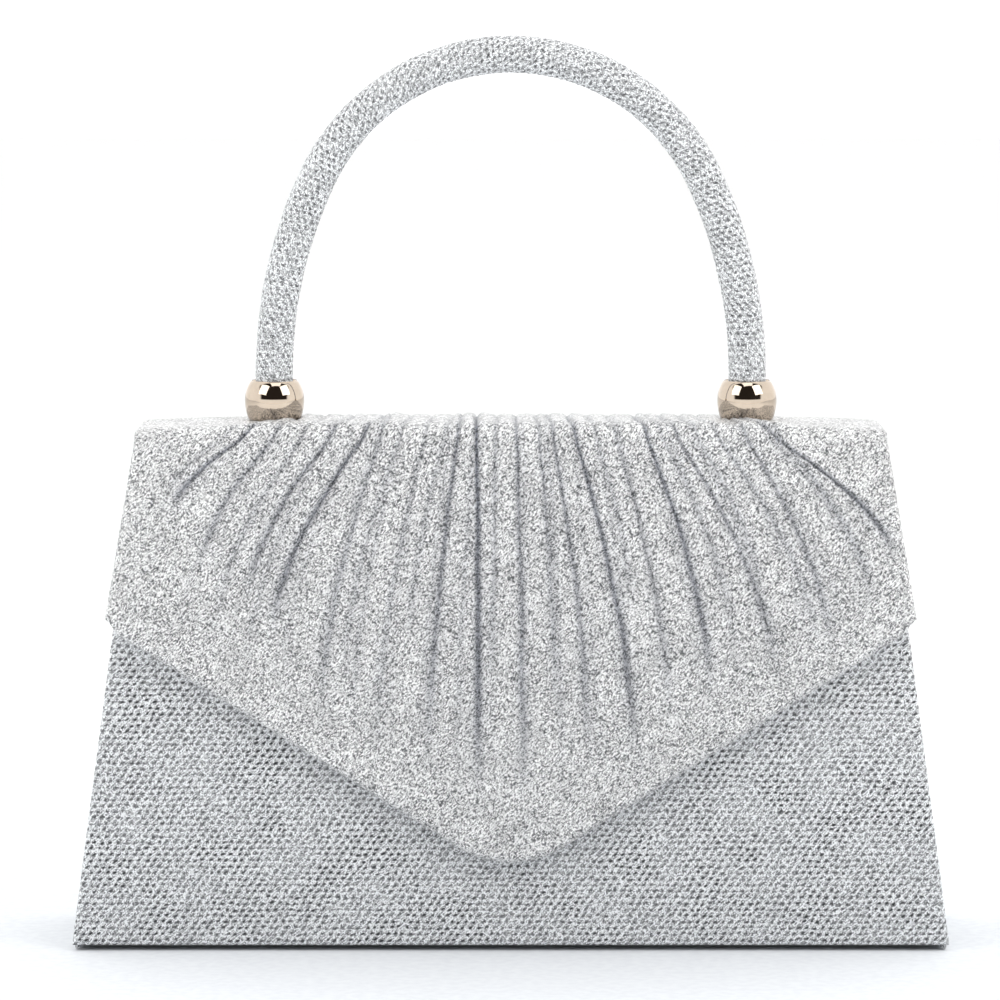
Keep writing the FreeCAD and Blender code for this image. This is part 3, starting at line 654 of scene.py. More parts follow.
def wall_slab(name, side, height_rows, inset, depth, thick, material, pit=None, seed=0.0):
    """Slab that follows the front (side -1) or back (+1) wall, its outside at a given depth."""
    width = BASE_HALF - inset
    across = spread(2 * width, FINE_CELL if pit else CELL, thick / 2)

    def spot_x(u, height):
        return (u / width - 1) * (wall_half(height) - inset)

    def put(u, v, swell):
        x = spot_x(u, v)
        out = wave(x, v, swell, seed)
        if pit and swell > 0:
            out -= pit(x, v)
        y = wall_reach(v) - depth - thick / 2 + swell * thick / 2 + out
        return Vector((x, side * y, v))

    return slab(name, across, height_rows, put, material,
                chart=lambda u, v: (-side * spot_x(u, v), v / math.cos(LEAN)))


def shifted(rows, offset):
    """Rows moved up by an offset."""
    return [(place + offset, full, laid + offset) for place, full, laid in rows]


def wall_lining(name, side, sizes, body, node, seed):
    """Make the satin on the inside of the front (side -1) or back (+1) wall."""
    inset = sizes.lining_inset
    rows = shifted(spread(WALL_HEIGHT - 2 * inset, LINING_CELL, sizes.lining / 2), inset)
    depth = WALL_STACK - sizes.lining
    lining = wall_slab(name, side, rows, inset, depth, sizes.lining, "satin", seed=seed)
    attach(lining, body)
    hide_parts(node)


class BAG_OT_front_wall(bpy.types.Operator):
    """Make the front wall's cloth, with the snap's seat, and its lining"""
    bl_idname = "evening_bag.front_wall"
    bl_label = "Front wall"

    def execute(self, context):
        sizes = context.scene.evening_bag.cloth
        thick = sizes.wall_slab
        low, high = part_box("snap_case")
        seat = (low + high) / 2
        radius = (high.x - low.x) / 2
        pit_depth, flat_from, deep_to = 2.45 * MM, radius + 0.4 * MM, radius - 2.2 * MM

        def pit(x, height):
            """Seat of the snap: the cloth dips behind the case."""
            away = math.hypot(x, (height - seat.z) / math.cos(LEAN))
            return pit_depth * smooth_step(flat_from, deep_to, away)

        rows = shifted(spread(WALL_HEIGHT - sizes.lift, FINE_CELL, thick / 2), sizes.lift)
        cloth = wall_slab("front_cloth", -1, rows, 0, 0, thick, "net", pit, 3.1)
        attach(cloth, "front_panel")
        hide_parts("front_cover")
        wall_lining("front_satin", -1, sizes, "front_panel", "front_lining", 5.0)
        return {"FINISHED"}


class BAG_OT_back_wall(bpy.types.Operator):
    """Make the back wall's cloth with the hinge to the strip, and its lining"""
    bl_idname = "evening_bag.back_wall"
    bl_label = "Back wall"

    def execute(self, context):
        sizes = context.scene.evening_bag.cloth
        thick = sizes.wall_slab
        hinge = 0.9 * MM
        top = WALL_HEIGHT - 1.5 * MM
        tab = STRIP_TOP - 1.0 * MM
        rows = shifted(spread(top - sizes.lift, CELL, thick / 2)[:-RIM_STEPS], sizes.lift)
        fine = 12
        above = [top + (tab - hinge - top) * (step + 1) / fine for step in range(fine)]
        rows += [(place, 1.0, place) for place in above]
        rows += spread(tab, tab, hinge / 2)[-RIM_STEPS:]
        across = spread(2 * BASE_HALF, CELL, thick / 2)
        behind, deepest = 0.65 * MM, 2 * MM

        def spot_x(u, height):
            return (u / BASE_HALF - 1) * wall_half(min(height, WALL_HEIGHT))

        def put(u, v, swell):
            """Wall below, and above it a thin hinge that stands behind the strip's edge."""
            x = spot_x(u, v)
            rise = smooth_step(top - 1.5 * MM, WALL_HEIGHT + 0.8 * MM, v)
            full = thick + (hinge - thick) * rise
            outside = wall_reach(min(v, WALL_HEIGHT)) + behind * rise
            out = wave(x, v, swell, 9.0)
            # The hinge's top follows the strip, which is lower at its two ends.
            drop = sizes.crown * (abs(x) / MOUTH_HALF) ** 6 * rise
            return Vector((x, outside - full / 2 + swell * full / 2 + out, v - min(drop, deepest)))

        cloth = slab("back_cloth", across, rows, put, "net",
                     chart=lambda u, v: (-spot_x(u, v), v / math.cos(LEAN)))
        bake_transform(cloth)
        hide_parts("back_cover")
        wall_lining("back_satin", 1, sizes, "bag", "back_lining", 6.0)
        return {"FINISHED"}


class BAG_OT_base(bpy.types.Operator):
    """Make the base's cloth and its lining"""
    bl_idname = "evening_bag.base"
    bl_label = "Base"

    def execute(self, context):
        sizes = context.scene.evening_bag.cloth
        past_ends, past_sides = 2.0 * MM, 0.45 * MM
        half, reach = BASE_HIGH.x + past_ends, BASE_HIGH.y + past_sides
        under = BASE_LINING_HIGH.z - sizes.lining
        overlap, edge_rise, turning = 0.2 * MM, 0.65 * MM, 1.6 * MM

        def layer(name, grow, low, thick, raised, material, slot, node):
            """One flat layer. raised lifts the outside near its edge off the floor."""
            wide, deep = half - grow, reach - grow
            across, along = (spread(2 * size, CELL, thick / 2) for size in (wide, deep))

            def put(u, v, swell):
                x, y = u - wide, v - deep
                inward = min(wide - abs(x), deep - abs(y))
                rise = raised * smooth_step(8 * MM, 1 * MM, inward) * max(0.0, swell)
                return Vector((x, y, low + thick / 2 - swell * thick / 2 + rise))

            piece = slab(name, across, along, put, material)
            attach(piece, "bag")
            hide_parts(node)

        layer("base_cloth", 0, 0, under + overlap, edge_rise, "net", "glitter_mesh", "base_cover")
        layer("base_satin", turning, under, sizes.lining, 0, "satin", "satin_lining", "base_lining")
        return {"FINISHED"}


class BAG_OT_gussets(bpy.types.Operator):
    """Make the side cloths that fold in, and their linings"""
    bl_idname = "evening_bag.gussets"
    bl_label = "Side gussets"

    def execute(self, context):
        sizes = context.scene.evening_bag.cloth
        crease = 0.07
        low = 0.4 * MM
        across = spread(2.0, 0.045, 0.03)

        def side_cloth(name, end, depth, thick, hide, material, nodes):
            """One layer of a side, from inside the front wall's slab to inside the back one's."""
            rows = shifted(spread(WALL_HEIGHT - 2 * low, CELL, thick / 2), low)

            def put(u, v, swell):
                share = v / WALL_HEIGHT
                fold = sizes.fold_low + (sizes.fold_high - sizes.fold_low) * share
                turn = u - 1
                bent = (1 - math.sqrt(turn * turn + crease * crease)) / (1 - crease)
                bow = 0.6 * MM * share * math.sin(math.pi * abs(turn)) * noise.noise(
                    Vector((turn * 2, v / (30 * MM), end * 4)))
                middle = wall_half(v) - sizes.gusset_inset - depth - thick / 2
                x = middle - fold * max(0.0, bent) + bow
                y = turn * (wall_reach(v) - hide)
                return Vector((end * (x + swell * thick / 2), y, v))

            piece = slab(name, across, rows, put, material,
                         chart=lambda u, v: ((u - 1) * (wall_reach(v) - hide), v))
            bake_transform(piece)
            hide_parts(*nodes)

        for hand, end in (("left", -1), ("right", 1)):
            side_cloth(f"gusset_{hand}_cloth", end, 0, sizes.gusset, 1.6 * MM, "net",
                       (f"gusset_{hand}_front", f"gusset_{hand}_rear"))
            side_cloth(f"gusset_{hand}_satin", end, sizes.gusset, 0.5 * MM, WALL_STACK, "satin",
                       (f"gusset_lining_{hand}_front", f"gusset_lining_{hand}_rear"))
        return {"FINISHED"}


# ---------------------------------------------------------------- pleated strip and flap

# One row for each crease, in millimetres: its place across the top fold, its place where
# it runs out, how far down the flap it runs, and its strength from 0 to 1.
CREASES = (
    (-69.5, -85, 15, 0.4), (-65, -83, 18, 0.95), (-58, -77, 34, 0.65), (-51, -72, 44, 0.4),
    (-44, -65, 40, 0.75), (-36, -59, 49, 0.9), (-32, -47, 69, 0.6), (-27, -41, 60, 0.4),
    (-21, -33, 76, 0.45), (-16, -25, 52, 0.4), (-13, -20, 79, 0.75), (-8.5, -7.7, 88, 0.95),
    (-3.5, -4.5, 66, 0.45), (1.5, 3.5, 91, 0.7), (7, 11.6, 70, 0.55), (10.5, 19.5, 79, 0.65),
    (16, 31, 80, 0.85), (21, 30, 44, 0.4), (26, 40, 72, 0.5), (33.5, 50, 64, 0.85),
    (37, 55, 50, 0.4), (41, 66, 60, 0.65), (46, 62, 40, 0.45), (51, 76, 52, 0.45),
    (58, 80, 54, 0.6), (63, 84, 30, 0.35), (66, 90, 42, 0.5), (64, 95, 30, 0.9),
)
# How strongly a crease curves outwards, over how many millimetres it straightens on the strip, how
# far its line wanders, and how far from it the cloth still feels it.
CURVE, STRAIGHTEN, WANDER, FELT = 1.6, 5.0, 0.35, 9
# Between them, faint long gathers that fan out further than the creases do.
GATHERS = tuple((place, 1.45 * place, 92 - 0.75 * abs(place), 0.20 + 0.06 * (step % 3))
                for step, place in enumerate(range(-57, 60, 6)))


def cover_hub(sizes):
    """Centre of the fold from the strip to the flap."""
    radius = sizes.fold_radius
    height = STRIP_TOP - radius
    reach = (height * math.sin(LEAN) - sizes.flap_face + radius) / math.cos(LEAN)
    return Vector((0, -BASE_REACH + reach, height))


def flap_low(x, sizes):
    """Rise of the flap's lower edge at a place across: two slopes, a round tip, eased corners."""
    slope = (sizes.corner_rise - sizes.tip_rise) / sizes.flap_half
    stretch = math.hypot(1, slope)
    if abs(x) < sizes.tip_radius * slope / stretch:
        centre = sizes.tip_rise + sizes.tip_radius * stretch
        return centre - math.sqrt(sizes.tip_radius ** 2 - x * x)
    ease_width, ease_rise = 4.0 * MM, 1.8 * MM
    eased = smooth_step(sizes.flap_half - ease_width, sizes.flap_half, abs(x))
    return sizes.tip_rise + slope * abs(x) + ease_rise * eased


def pleats(x, down, pleat):
    """Height of the gathered cloth and the painted shade of its creases, at a place across and down
    the flap.
    """
    x, down = x / MM, down / MM
    ridge_width = pleat.ridge_width / MM
    height, depth = 0.0, 0.0
    for top, foot, run, strength in CREASES + GATHERS:
        share = min(1.0, max(0.0, down / run))
        line = top + (foot - top) * (1 - (1 - share) ** CURVE)
        if down < 0:
            # On the strip each crease leaves the fold with the flap's slope, then runs straight back.
            slope = (foot - top) / run * CURVE
            line += slope * STRAIGHTEN * (math.exp(down / STRAIGHTEN) - 1)
        away = x - line - WANDER * noise.noise(Vector((top, down / 9, 1.7)))
        if abs(away) > FELT:
            continue
        fade = strength * smooth_step(1.12 * run, 0.72 * run, down) * smooth_step(-62, -3, down)
        width = pleat.width / MM * (1 + 1.9 * share)
        valley = math.exp(-(away / width) ** 2)
        side = away / ridge_width
        ridge = side * math.exp(1 - side) if side > 0 else -0.45 * side * math.exp(1 + side)
        height += fade * (pleat.ridge / MM * ridge - pleat.depth / MM * valley)
        # Painted shade: darkest just beside the crease's line, with a wider faint band round it.
        lip = away + 0.25 * width
        shade = 0.78 * math.exp(-(lip / (1.05 * width)) ** 2)
        shade += 0.22 * math.exp(-(lip / (3.2 * width)) ** 2)
        depth = max(depth, fade * (1 - 0.3 * share) * shade)
    calm = smooth_step(88, 66, abs(x)) * smooth_step(100, 70, down) * smooth_step(-6, 16, down)
    puff = noise.noise(Vector((x / 6.5, down / 40, 0.3))) + 0.35 * noise.noise(
        Vector((x / 3.2, down / 30, 4.0)))
    height += pleat.puff / MM * puff * calm
    return height * MM, depth


class FlapSheet:
    """Middle of a sheet that lies along the strip, turns the fold and fans out down the flap.

    Its rows are pairs of a kind and a place: strip and fold rows hold the run from the back edge,
    fan rows the share of the way down the flap, and rim rows the distance short of its edge.
    """

    def __init__(self, sizes, back, hub, radius, out, inset, rim, skin=0.0):
        self.sizes, self.back, self.hub, self.radius, self.out = sizes, back, hub, radius, out
        self.inset, self.rim, self.skin = inset, rim, skin
        self.width = sizes.flap_top - inset
        self.leave = (hub - WALL_FOOT).dot(UP_WALL)
        self.strip_run = back - hub.y
        self.start = self.strip_run + radius * (math.pi / 2 - LEAN)

    def rows(self, strip_cell, fan_count):
        """Rows from the back edge to the flap's lower edge, with the fullness at each."""
        rim = spread(4 * self.rim, self.rim, self.rim)[:RIM_STEPS]
        cells = round((self.strip_run - self.rim) / strip_cell)
        strip = [self.rim + (self.strip_run - self.rim) * step / cells for step in range(cells)]
        fold = [self.strip_run + (self.start - self.strip_run) * step / 9 for step in range(10)]
        full = [("strip", place) for place in strip] + [("fold", place) for place in fold]
        full += [("fan", (step + 1) / fan_count) for step in range(fan_count)]
        return ([(("strip", place), swell, ("strip", laid)) for place, swell, laid in rim]
                + [(row, 1.0, row) for row in full]
                + [(("rim", place), swell, ("rim", laid)) for place, swell, laid in reversed(rim)])

    def resolve(self, u, row):
        """Place across, run from the back edge, point on the sheet's middle, outward normal."""
        kind, place = row
        share = u / self.width - 1
        x = share * self.width
        if kind == "strip":
            point = Vector((x, self.back - place, self.hub.z + self.radius))
            return x, place, point, Vector((0, 0, 1))
        if kind == "fold":
            angle = (place - self.strip_run) / self.radius
            out = Vector((0, -math.sin(angle), math.cos(angle)))
            return x, place, self.hub + out * self.radius + Vector((x, 0, 0)), out
        foot_x = share * (self.sizes.flap_half - self.inset)
        foot = flap_low(foot_x, self.sizes) + 1.15 * self.inset
        fall = Vector((foot_x - x, foot - self.leave))
        whole = fall.length
        gone = whole - place if kind == "rim" else (whole - self.rim) * place
        spot = Vector((x, self.leave)) + fall * (gone / whole)
        point = WALL_FOOT + UP_WALL * spot.y + OUT_OF_WALL * self.out
        point.x = spot.x
        return spot.x, self.start + self.leave - spot.y, point, OUT_OF_WALL

    def chart(self, u, row):
        """Flat coordinates of the cloth, which is longer round the fold's outside by the skin."""
        x, run, *_ = self.resolve(u, row)
        turned_by = min(self.start, max(self.strip_run, run)) - self.strip_run
        return x, -run - self.skin * turned_by / self.radius

    def depth(self):
        """Length of the sheet from its back edge to the flap's tip."""
        return self.start + self.leave - self.sizes.tip_rise


class BAG_OT_pleated_cover(bpy.types.Operator):
    """Make the gathered cloth that runs over the strip, round the fold and down the flap"""
    bl_idname = "evening_bag.pleated_cover"
    bl_label = "Pleated cover"

    def execute(self, context):
        settings = context.scene.evening_bag
        sizes, pleat = settings.cloth, settings.pleat
        half_thick = sizes.cover_slab / 2
        hub = cover_hub(sizes)
        sheet = FlapSheet(sizes, MOUTH_REACH - 0.1 * MM, hub, sizes.fold_radius - half_thick,
                          sizes.flap_face - half_thick, 0, half_thick, half_thick)
        bend = (sheet.strip_run + sheet.start) / 2
        spots = {}

        def spot(u, row):
            """The resolved place and its pleats, worked out once for both sides of the slab."""
            if (u, row) not in spots:
                x, run, point, out = sheet.resolve(u, row)
                height, depth = pleats(x, run - bend, pleat)
                end = (abs(x) / sizes.flap_top) ** 6
                drop = sizes.crown * min(1.0, end) * smooth_step(18 * MM, 2 * MM, run - bend)
                # The last is the painted shade of the creases there.
                spots[u, row] = point, out, height - drop, depth
            return spots[u, row]

        def put(u, row, swell):
            point, out, height, _ = spot(u, row)
            return point + out * (swell * half_thick + max(0.0, swell) * height)

        cover = slab("pleated_cover", spread(2 * sheet.width, 0.52 * MM, half_thick),
                     sheet.rows(1.6 * MM, 90), put, "gathered", sheet.chart,
                     lambda u, row: spot(u, row)[3])
        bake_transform(cover)
        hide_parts("top_cover", "flap_cover")
        sheet.depth()
        return {"FINISHED"}


class BAG_OT_flap_inside(bpy.types.Operator):
    """Make the flap's board, and the satin under the strip and behind the flap in one piece"""
    bl_idname = "evening_bag.flap_inside"
    bl_label = "Flap board and lining"

    def execute(self, context):
        sizes = context.scene.evening_bag.cloth
        self.board(sizes)
        thick = 0.5 * MM
        bend = 0.5 * MM
        inset, before_wall = 1.6 * MM, 1.2 * MM
        under = STRIP_UNDER + thick / 2
        clear = before_wall + thick / 2
        corner = -BASE_REACH + (under * math.sin(LEAN) - clear) / math.cos(LEAN)
        hub = Vector((0, corner + bend, under - bend))
        sheet = FlapSheet(sizes, MOUTH_REACH - inset, hub, bend, clear, inset, thick / 2)

        def put(u, row, swell):
            point, out = sheet.resolve(u, row)[2:]
            return point - out * (swell * thick / 2)

        lining = slab("flap_satin", spread(2 * sheet.width, 2.5 * MM, thick / 2),
                      sheet.rows(2.0 * MM, 36), put, "satin", sheet.chart)
        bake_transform(lining)
        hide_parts("top_lining", "flap_lining")
        sheet.depth()
        return {"FINISHED"}

    def board(self, sizes):
        """Fibreboard inside the flap: it stops below the fold, so that the cloth can bend."""
        thick = 1.0 * MM
        before_wall, inset = 2.4 * MM, 3.2 * MM
        sheet = FlapSheet(sizes, MOUTH_REACH, cover_hub(sizes), 1 * MM, before_wall, inset,
                          thick / 2)
        fans = 30
        top = spread(1.0, 1.0, 0.02)[:RIM_STEPS]
        rows = [(("fan", place), full, ("fan", place)) for place, full, _ in top]
        rows += [row for row in sheet.rows(1.0, fans) if row[0][0] in ("fan", "rim")]

        def put(u, row, swell):
            point, out = sheet.resolve(u, row)[2:]
            return point + out * (swell * thick / 2)

        board = slab("flap_stiffener", spread(2 * sheet.width, 4 * MM, thick / 2), rows, put,
                     "fibreboard", sheet.chart)
        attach(board, "flap")
        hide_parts("flap_board")


# ---------------------------------------------------------------- handle

class BAG_OT_handle(bpy.types.Operator):
    """Make the net wrapped round the handle, its two edges meeting in a seam"""
    bl_idname = "evening_bag.handle"
    bl_label = "Handle"

    def execute(self, context):
        settings = context.scene.evening_bag
        sizes, net = settings.handle, settings.net
        leg = (FERRULE_LOW.x + FERRULE_HIGH.x) / 2
        radius = sizes.width / 2
        thick = 0.7 * MM
        crown = sizes.crown_radius
        hub_z = HANDLE_HIGH.z - radius - crown
        rise = hub_z - sizes.shoulder
        # The side arc leaves the upright leg at the shoulder and touches the crown from inside.
        side = (leg * leg + rise * rise - crown * crown) / (2 * (leg - crown))
        turn = math.atan2(rise, side - leg)
        foot = HANDLE_LOW.z
        straight = sizes.shoulder - foot
        apex = straight + side * turn + crown * (math.pi / 2 - turn)
        girth = 2 * math.pi * radius
        # The seam's angle from the outside of the bow, how far it turns towards the front, and where.
        seam_back, seam_turn, seam_spot, seam_span = 165, 62, 14 * MM, 42 * MM
        grain_depth, slack_depth = 0.1 * MM, 0.12 * MM
        cell = 0.62 * MM

        def centre_line(run):
            """Point of the handle's centre line and the way out of its bow, from the right foot."""
            flip = 1 if run <= apex else -1
            run = min(run, 2 * apex - run)
            if run <= straight:
                return Vector((flip * leg, 0, foot + run)), Vector((flip, 0, 0))
            angle = (run - straight) / side
            if angle <= turn:
                out = Vector((math.cos(angle), 0, math.sin(angle)))
                point = Vector((leg - side, 0, sizes.shoulder)) + side * out
            else:
                angle = turn + (run - straight - side * turn) / crown
                out = Vector((math.cos(angle), 0, math.sin(angle)))
                point = Vector((0, 0, hub_z)) + crown * out
            return Vector((flip * point.x, 0, point.z)), Vector((flip * out.x, 0, out.z))

        def put(u, v, swell):
            """The seam lies inside the bow, and comes round towards the front near the top."""
            point, out = centre_line(v)
            near = (v - apex + seam_spot) / seam_span
            seam = math.radians(seam_back - seam_turn * math.exp(-near * near))
            angle = seam + 2 * math.pi * u / girth
            away = radius - thick / 2 + swell * thick / 2
            if swell > 0:
                column, row = u / net.pitch, v / net.row
                hole = math.cos(2 * math.pi * (column - 0.5 * row)) * math.cos(math.pi * row) ** 2
                grain = noise.noise(Vector((u / MM * 1.3, v / MM * 1.3, 2.0)))
                slack = noise.noise(Vector((u / MM * 0.15, v / MM * 0.12, 8.0)))
                away += swell * (grain_depth * grain + slack_depth * slack
                                 - sizes.lattice_relief * (0.5 + 0.5 * hole))
            return point + away * (math.cos(angle) * out + math.sin(angle) * Vector((0, -1, 0)))

        sleeve = slab("handle_sleeve", spread(girth, cell, thick / 2),
                      spread(2 * apex, cell, thick / 2), put, "handle net")
        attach(sleeve, "top_strip")
        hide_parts("handle_cover")
        return {"FINISHED"}


def barrel(sizes):
    """Half section of a ferrule: a barrel of two arcs that stand upright at the waist."""
    height = FERRULE_HIGH.z - FERRULE_LOW.z
    waist = sizes.ferrule_waist / 2
    middle = height / 2
    lip = 0.35 * MM
    cup = sizes.ferrule_cup / 2
    floor = height - sizes.cup_depth

    def arc(end, heights):
        drop = waist - end
        radius = (middle * middle + drop * drop) / (2 * drop)
        return [(waist - radius + math.sqrt(radius ** 2 - (z - middle) ** 2), z) for z in heights]

    lower = [lip + (middle - lip) * step / 10 for step in range(11)]
    upper = [middle + (middle - lip) * step / 10 for step in range(1, 11)]
    foot, rim = sizes.ferrule_foot / 2, sizes.ferrule_rim / 2
    outside = arc(foot, lower) + arc(rim, upper)
    foot_edge = [(0, 0), (foot - 1.3 * lip, 0), (foot - 0.45 * lip, 0.25 * lip)]
    rim_edge = [(rim - 0.1 * lip, height - 0.3 * lip), (rim - 0.7 * lip, height),
                (cup + 0.8 * lip, height), (cup + 0.1 * lip, height - 0.5 * lip),
                (cup, height - 2 * lip), (cup, floor + lip), (cup - lip, floor), (0, floor)]
    return foot_edge + outside + rim_edge


class BAG_OT_ferrules(bpy.types.Operator):
    """Make the two polished barrel beads at the handle's feet"""
    bl_idname = "evening_bag.ferrules"
    bl_label = "Ferrules"

    def execute(self, context):
        sizes = context.scene.evening_bag.handle
        for hand in ("left", "right"):
            low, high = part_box(f"ferrule_{hand}")
            place = Matrix.Translation(((low.x + high.x) / 2, 0, low.z))
            bead = turned(f"ferrule_bead_{hand}", barrel(sizes), place, "nickel", steps=96)
            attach(bead, "top_strip")
            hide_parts(f"ferrule_{hand}")
        return {"FINISHED"}


# ---------------------------------------------------------------- snap, pocket, strap rings

def wall_matrix(rise):
    """Frame on the front wall's outside: Z points out of the wall, Y up its slope."""
    turn = Matrix((UP_WALL.cross(OUT_OF_WALL), UP_WALL, OUT_OF_WALL)).transposed().to_4x4()
    return Matrix.Translation(WALL_FOOT + UP_WALL * rise) @ turn


class BAG_OT_snap(bpy.types.Operator):
    """Make the pressed metal case and post of the magnetic snap"""
    bl_idname = "evening_bag.snap"
    bl_label = "Magnetic snap"

    def execute(self, context):
        low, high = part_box("snap_case")
        radius = (high.x - low.x) / 2
        rise = ((low + high) / 2 - WALL_FOOT).dot(UP_WALL)
        place = wall_matrix(rise)
        proud, back, well, sheet = 0.4 * MM, -2.0 * MM, 4.0 * MM, 0.3 * MM
        case = turned("snap_case_shell",
                      [(0, back + sheet), (well, back + sheet), (well, proud),
                       (radius, proud), (radius, back), (0, back)],
                      place, "nickel", bevel=0.22 * MM)
        disc, under_disc, end, post = 1.2 * MM, 0.8 * MM, -0.9 * MM, 3.0 * MM
        knob = turned("snap_post_knob",
                      [(0, end), (post, end), (post, under_disc),
                       (radius, under_disc), (radius, disc), (0, disc)],
                      place, "nickel", bevel=0.18 * MM)
        for piece, body, node in ((case, "front_panel", "snap_case"),
                                  (knob, "flap", "snap_post")):
            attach(piece, body)
            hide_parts(node)
        return {"FINISHED"}


class BAG_OT_slip_pocket(bpy.types.Operator):
    """Make the satin slip pocket on the back lining, with its stitching"""
    bl_idname = "evening_bag.slip_pocket"
    bl_label = "Slip pocket"

    def execute(self, context):
        low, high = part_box("slip_pocket")
        thick = 0.6 * MM
        half = high.x
        foot, top = low.z / math.cos(LEAN) + 0.3 * MM, high.z / math.cos(LEAN)
        origin = Vector((0, BASE_REACH - WALL_STACK / math.cos(LEAN), 0))
        across = spread(2 * half, CELL, thick / 2)
        along = shifted(spread(top - foot, CELL, thick / 2), foot)
        room, hem_width, gap = 1.0 * MM, 7.0 * MM, 0.05 * MM

        def put(u, v, swell):
            """Flat against the lining along three sides, standing off it in the middle."""
            x = u - half
            side = smooth_step(2.5 * MM, 9 * MM, half - abs(x))
            lift = room * side * smooth_step(foot + 2.5 * MM, foot + 12 * MM, v)
            hem = 0.15 * MM * smooth_step(top - hem_width, top - hem_width + 0.6 * MM, v)
            away = lift + thick / 2 + swell * (thick / 2 + hem)
            return origin + UP_BACK_WALL * v + INTO_BAG * (away + gap) + Vector((x, 0, 0))

        pocket = slab("slip_pocket_satin", across, along, put, "satin",
                      chart=lambda u, v: (v, u))
        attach(pocket, "bag")
        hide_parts("slip_pocket")
        inset, short = 1.4 * MM, 2 * MM
        side, low_seam, seam_end = half - inset, foot + inset, top - short
        corners = [origin + UP_BACK_WALL * v + INTO_BAG * (thick + gap) + Vector((x, 0, 0))
                   for x, v in ((-side, seam_end), (-side, low_seam), (side, low_seam),
                                (side, seam_end))]
        stitches("slip_pocket_stitches", zip(corners, corners[1:]), INTO_BAG, "bag")
        return {"FINISHED"}


def arc_stops(hub, radius, start, sweep, steps):
    """Stops along an arc: its hub, its radius and the angle of each, given in degrees."""
    return [(hub, radius, math.radians(start + sweep * step / steps))
            for step in range(steps + 1)]


class BAG_OT_strap_rings(bpy.types.Operator):
    """Make the D-shaped wire rings for a strap and the cloth tabs that hold them"""
    bl_idname = "evening_bag.strap_rings"
    bl_label = "Strap rings"

    def execute(self, context):
        wire, corner = 0.8 * MM, 0.9 * MM
        for hand in ("left", "right"):
            low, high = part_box(f"strap_ring_{hand}")
            half = (high.x - low.x) / 2 - wire
            bar = Vector(((low.x + high.x) / 2, (low.y + high.y) / 2, high.z - wire))
            leg = (high.z - low.z) - 2 * wire - half
            # Down the right leg, round the bow, up the left leg and back along the bar.
            loop = (arc_stops(Vector((half - corner, 0, -corner)), corner, 90, -90, 6)
                    + arc_stops(Vector((0, 0, -leg)), half, 0, -180, 24)
                    + arc_stops(Vector((corner - half, 0, -corner)), corner, 180, -90, 6))
            ring = []
            for hub, radius, angle in loop + loop[:1]:
                out = Vector((math.cos(angle), 0, math.sin(angle)))
                ring.append((bar + hub + radius * out, out, Vector((0, 1, 0))))
            piece = closed_wire(f"strap_ring_{hand}_wire", ring, wire, "nickel")
            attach(piece, f"strap_ring_{hand}")
            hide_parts(f"strap_ring_{hand}")
            self.tab(hand, bar)
        return {"FINISHED"}

    def tab(self, hand, bar):
        """Cloth tab: down the lining, round the ring's bar, and up over itself."""
        thick = 0.6 * MM
        wrap = 1.2 * MM
        plate = 9.5 * MM
        low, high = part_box(f"ring_tab_{hand}")
        half = (high.x - low.x) / 2
        stand, taper, upper = 1.65 * MM, 1.5 * MM, 0.8 * plate
        path = [(-stand + thick / 2, plate * (1 - step / 8)) for step in range(8)]
        path += [(-wrap * math.cos(math.pi * step / 12), -wrap * math.sin(math.pi * step / 12))
                 for step in range(13)]
        path += [(wrap - taper * smooth_step(0, 1, step / 8), upper * step / 8)
                 for step in range(1, 9)]
        run = [0.0]
        for (a, b), (c, d) in zip(path, path[1:]):
            run.append(run[-1] + math.hypot(c - a, d - b))
        last = len(path) - 1
        along = [(step, 0.0 if step in (0, last) else 1.0, step) for step in range(last + 1)]
        across = spread(2 * half, 1 * MM, thick / 2, steps=3)

        def put(u, v, swell):
            step = int(v)
            before, after = path[max(0, step - 1)], path[min(last, step + 1)]
            tangent = Vector((after[0] - before[0], after[1] - before[1])).normalized()
            out = Vector((tangent.y, -tangent.x))
            away, rise = Vector(path[step]) + out * (swell * thick / 2)
            return bar + INTO_BAG * away + UP_BACK_WALL * rise + Vector((u - half, 0, 0))

        piece = slab(f"ring_tab_{hand}_satin", across, along, put, "satin",
                     chart=lambda u, v: (u, run[int(v)]))
        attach(piece, "bag")
        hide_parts(f"ring_tab_{hand}")


class BAG_OT_hidden_parts(bpy.types.Operator):
    """Give the frame's own boards, tube, screws and magnet their materials"""
    bl_idname = "evening_bag.hidden_parts"
    bl_label = "Boards and fittings"

    def execute(self, context):
        kinds = {"board": "fibreboard", "handle_core": "steel", "screw": "zinc", "washer": "zinc",
                 "snap_plate": "zinc", "magnet": "ferrite"}
        for name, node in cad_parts.items():
            for word, material in kinds.items():
                if word in name:
                    node.data.materials.clear()
                    node.data.materials.append(finish(material))
        return {"FINISHED"}


# ---------------------------------------------------------------- studio

# Where the dark room begins and is full, as the direction's part backwards, aside and upwards.
ROOM_FRONT, ROOM_SIDE, ROOM_FOOT = (-0.10, -0.24), (0.84, 0.74), (0.04, 0.09)
# Softboxes: degrees to the right of the front, degrees above the horizon, share of the power. Two
# stand in front, to the left and right, and one high up puts the flap's shadow below it.
SOFTBOXES = ((-50, 35, 0.74), (50, 35, 0.82), (8, 68, 0.58))
LAMP_AIM = Vector((0, 0, 0.10))
CAMERA_AIM = Vector((-2.7 * MM, 0, CAD_BOX[0].z + 110.9 * MM))
SENSOR = 36
# Half the floor's side, how far it is moved back, and where its greyer middle, painted shade round
# the bag, begins and ends.
FLOOR_HALF, FLOOR_BACK, FLOOR_FADE = 4.0, 3.1, (0.14, 0.45)
WHITE = (1, 1, 1, 1)


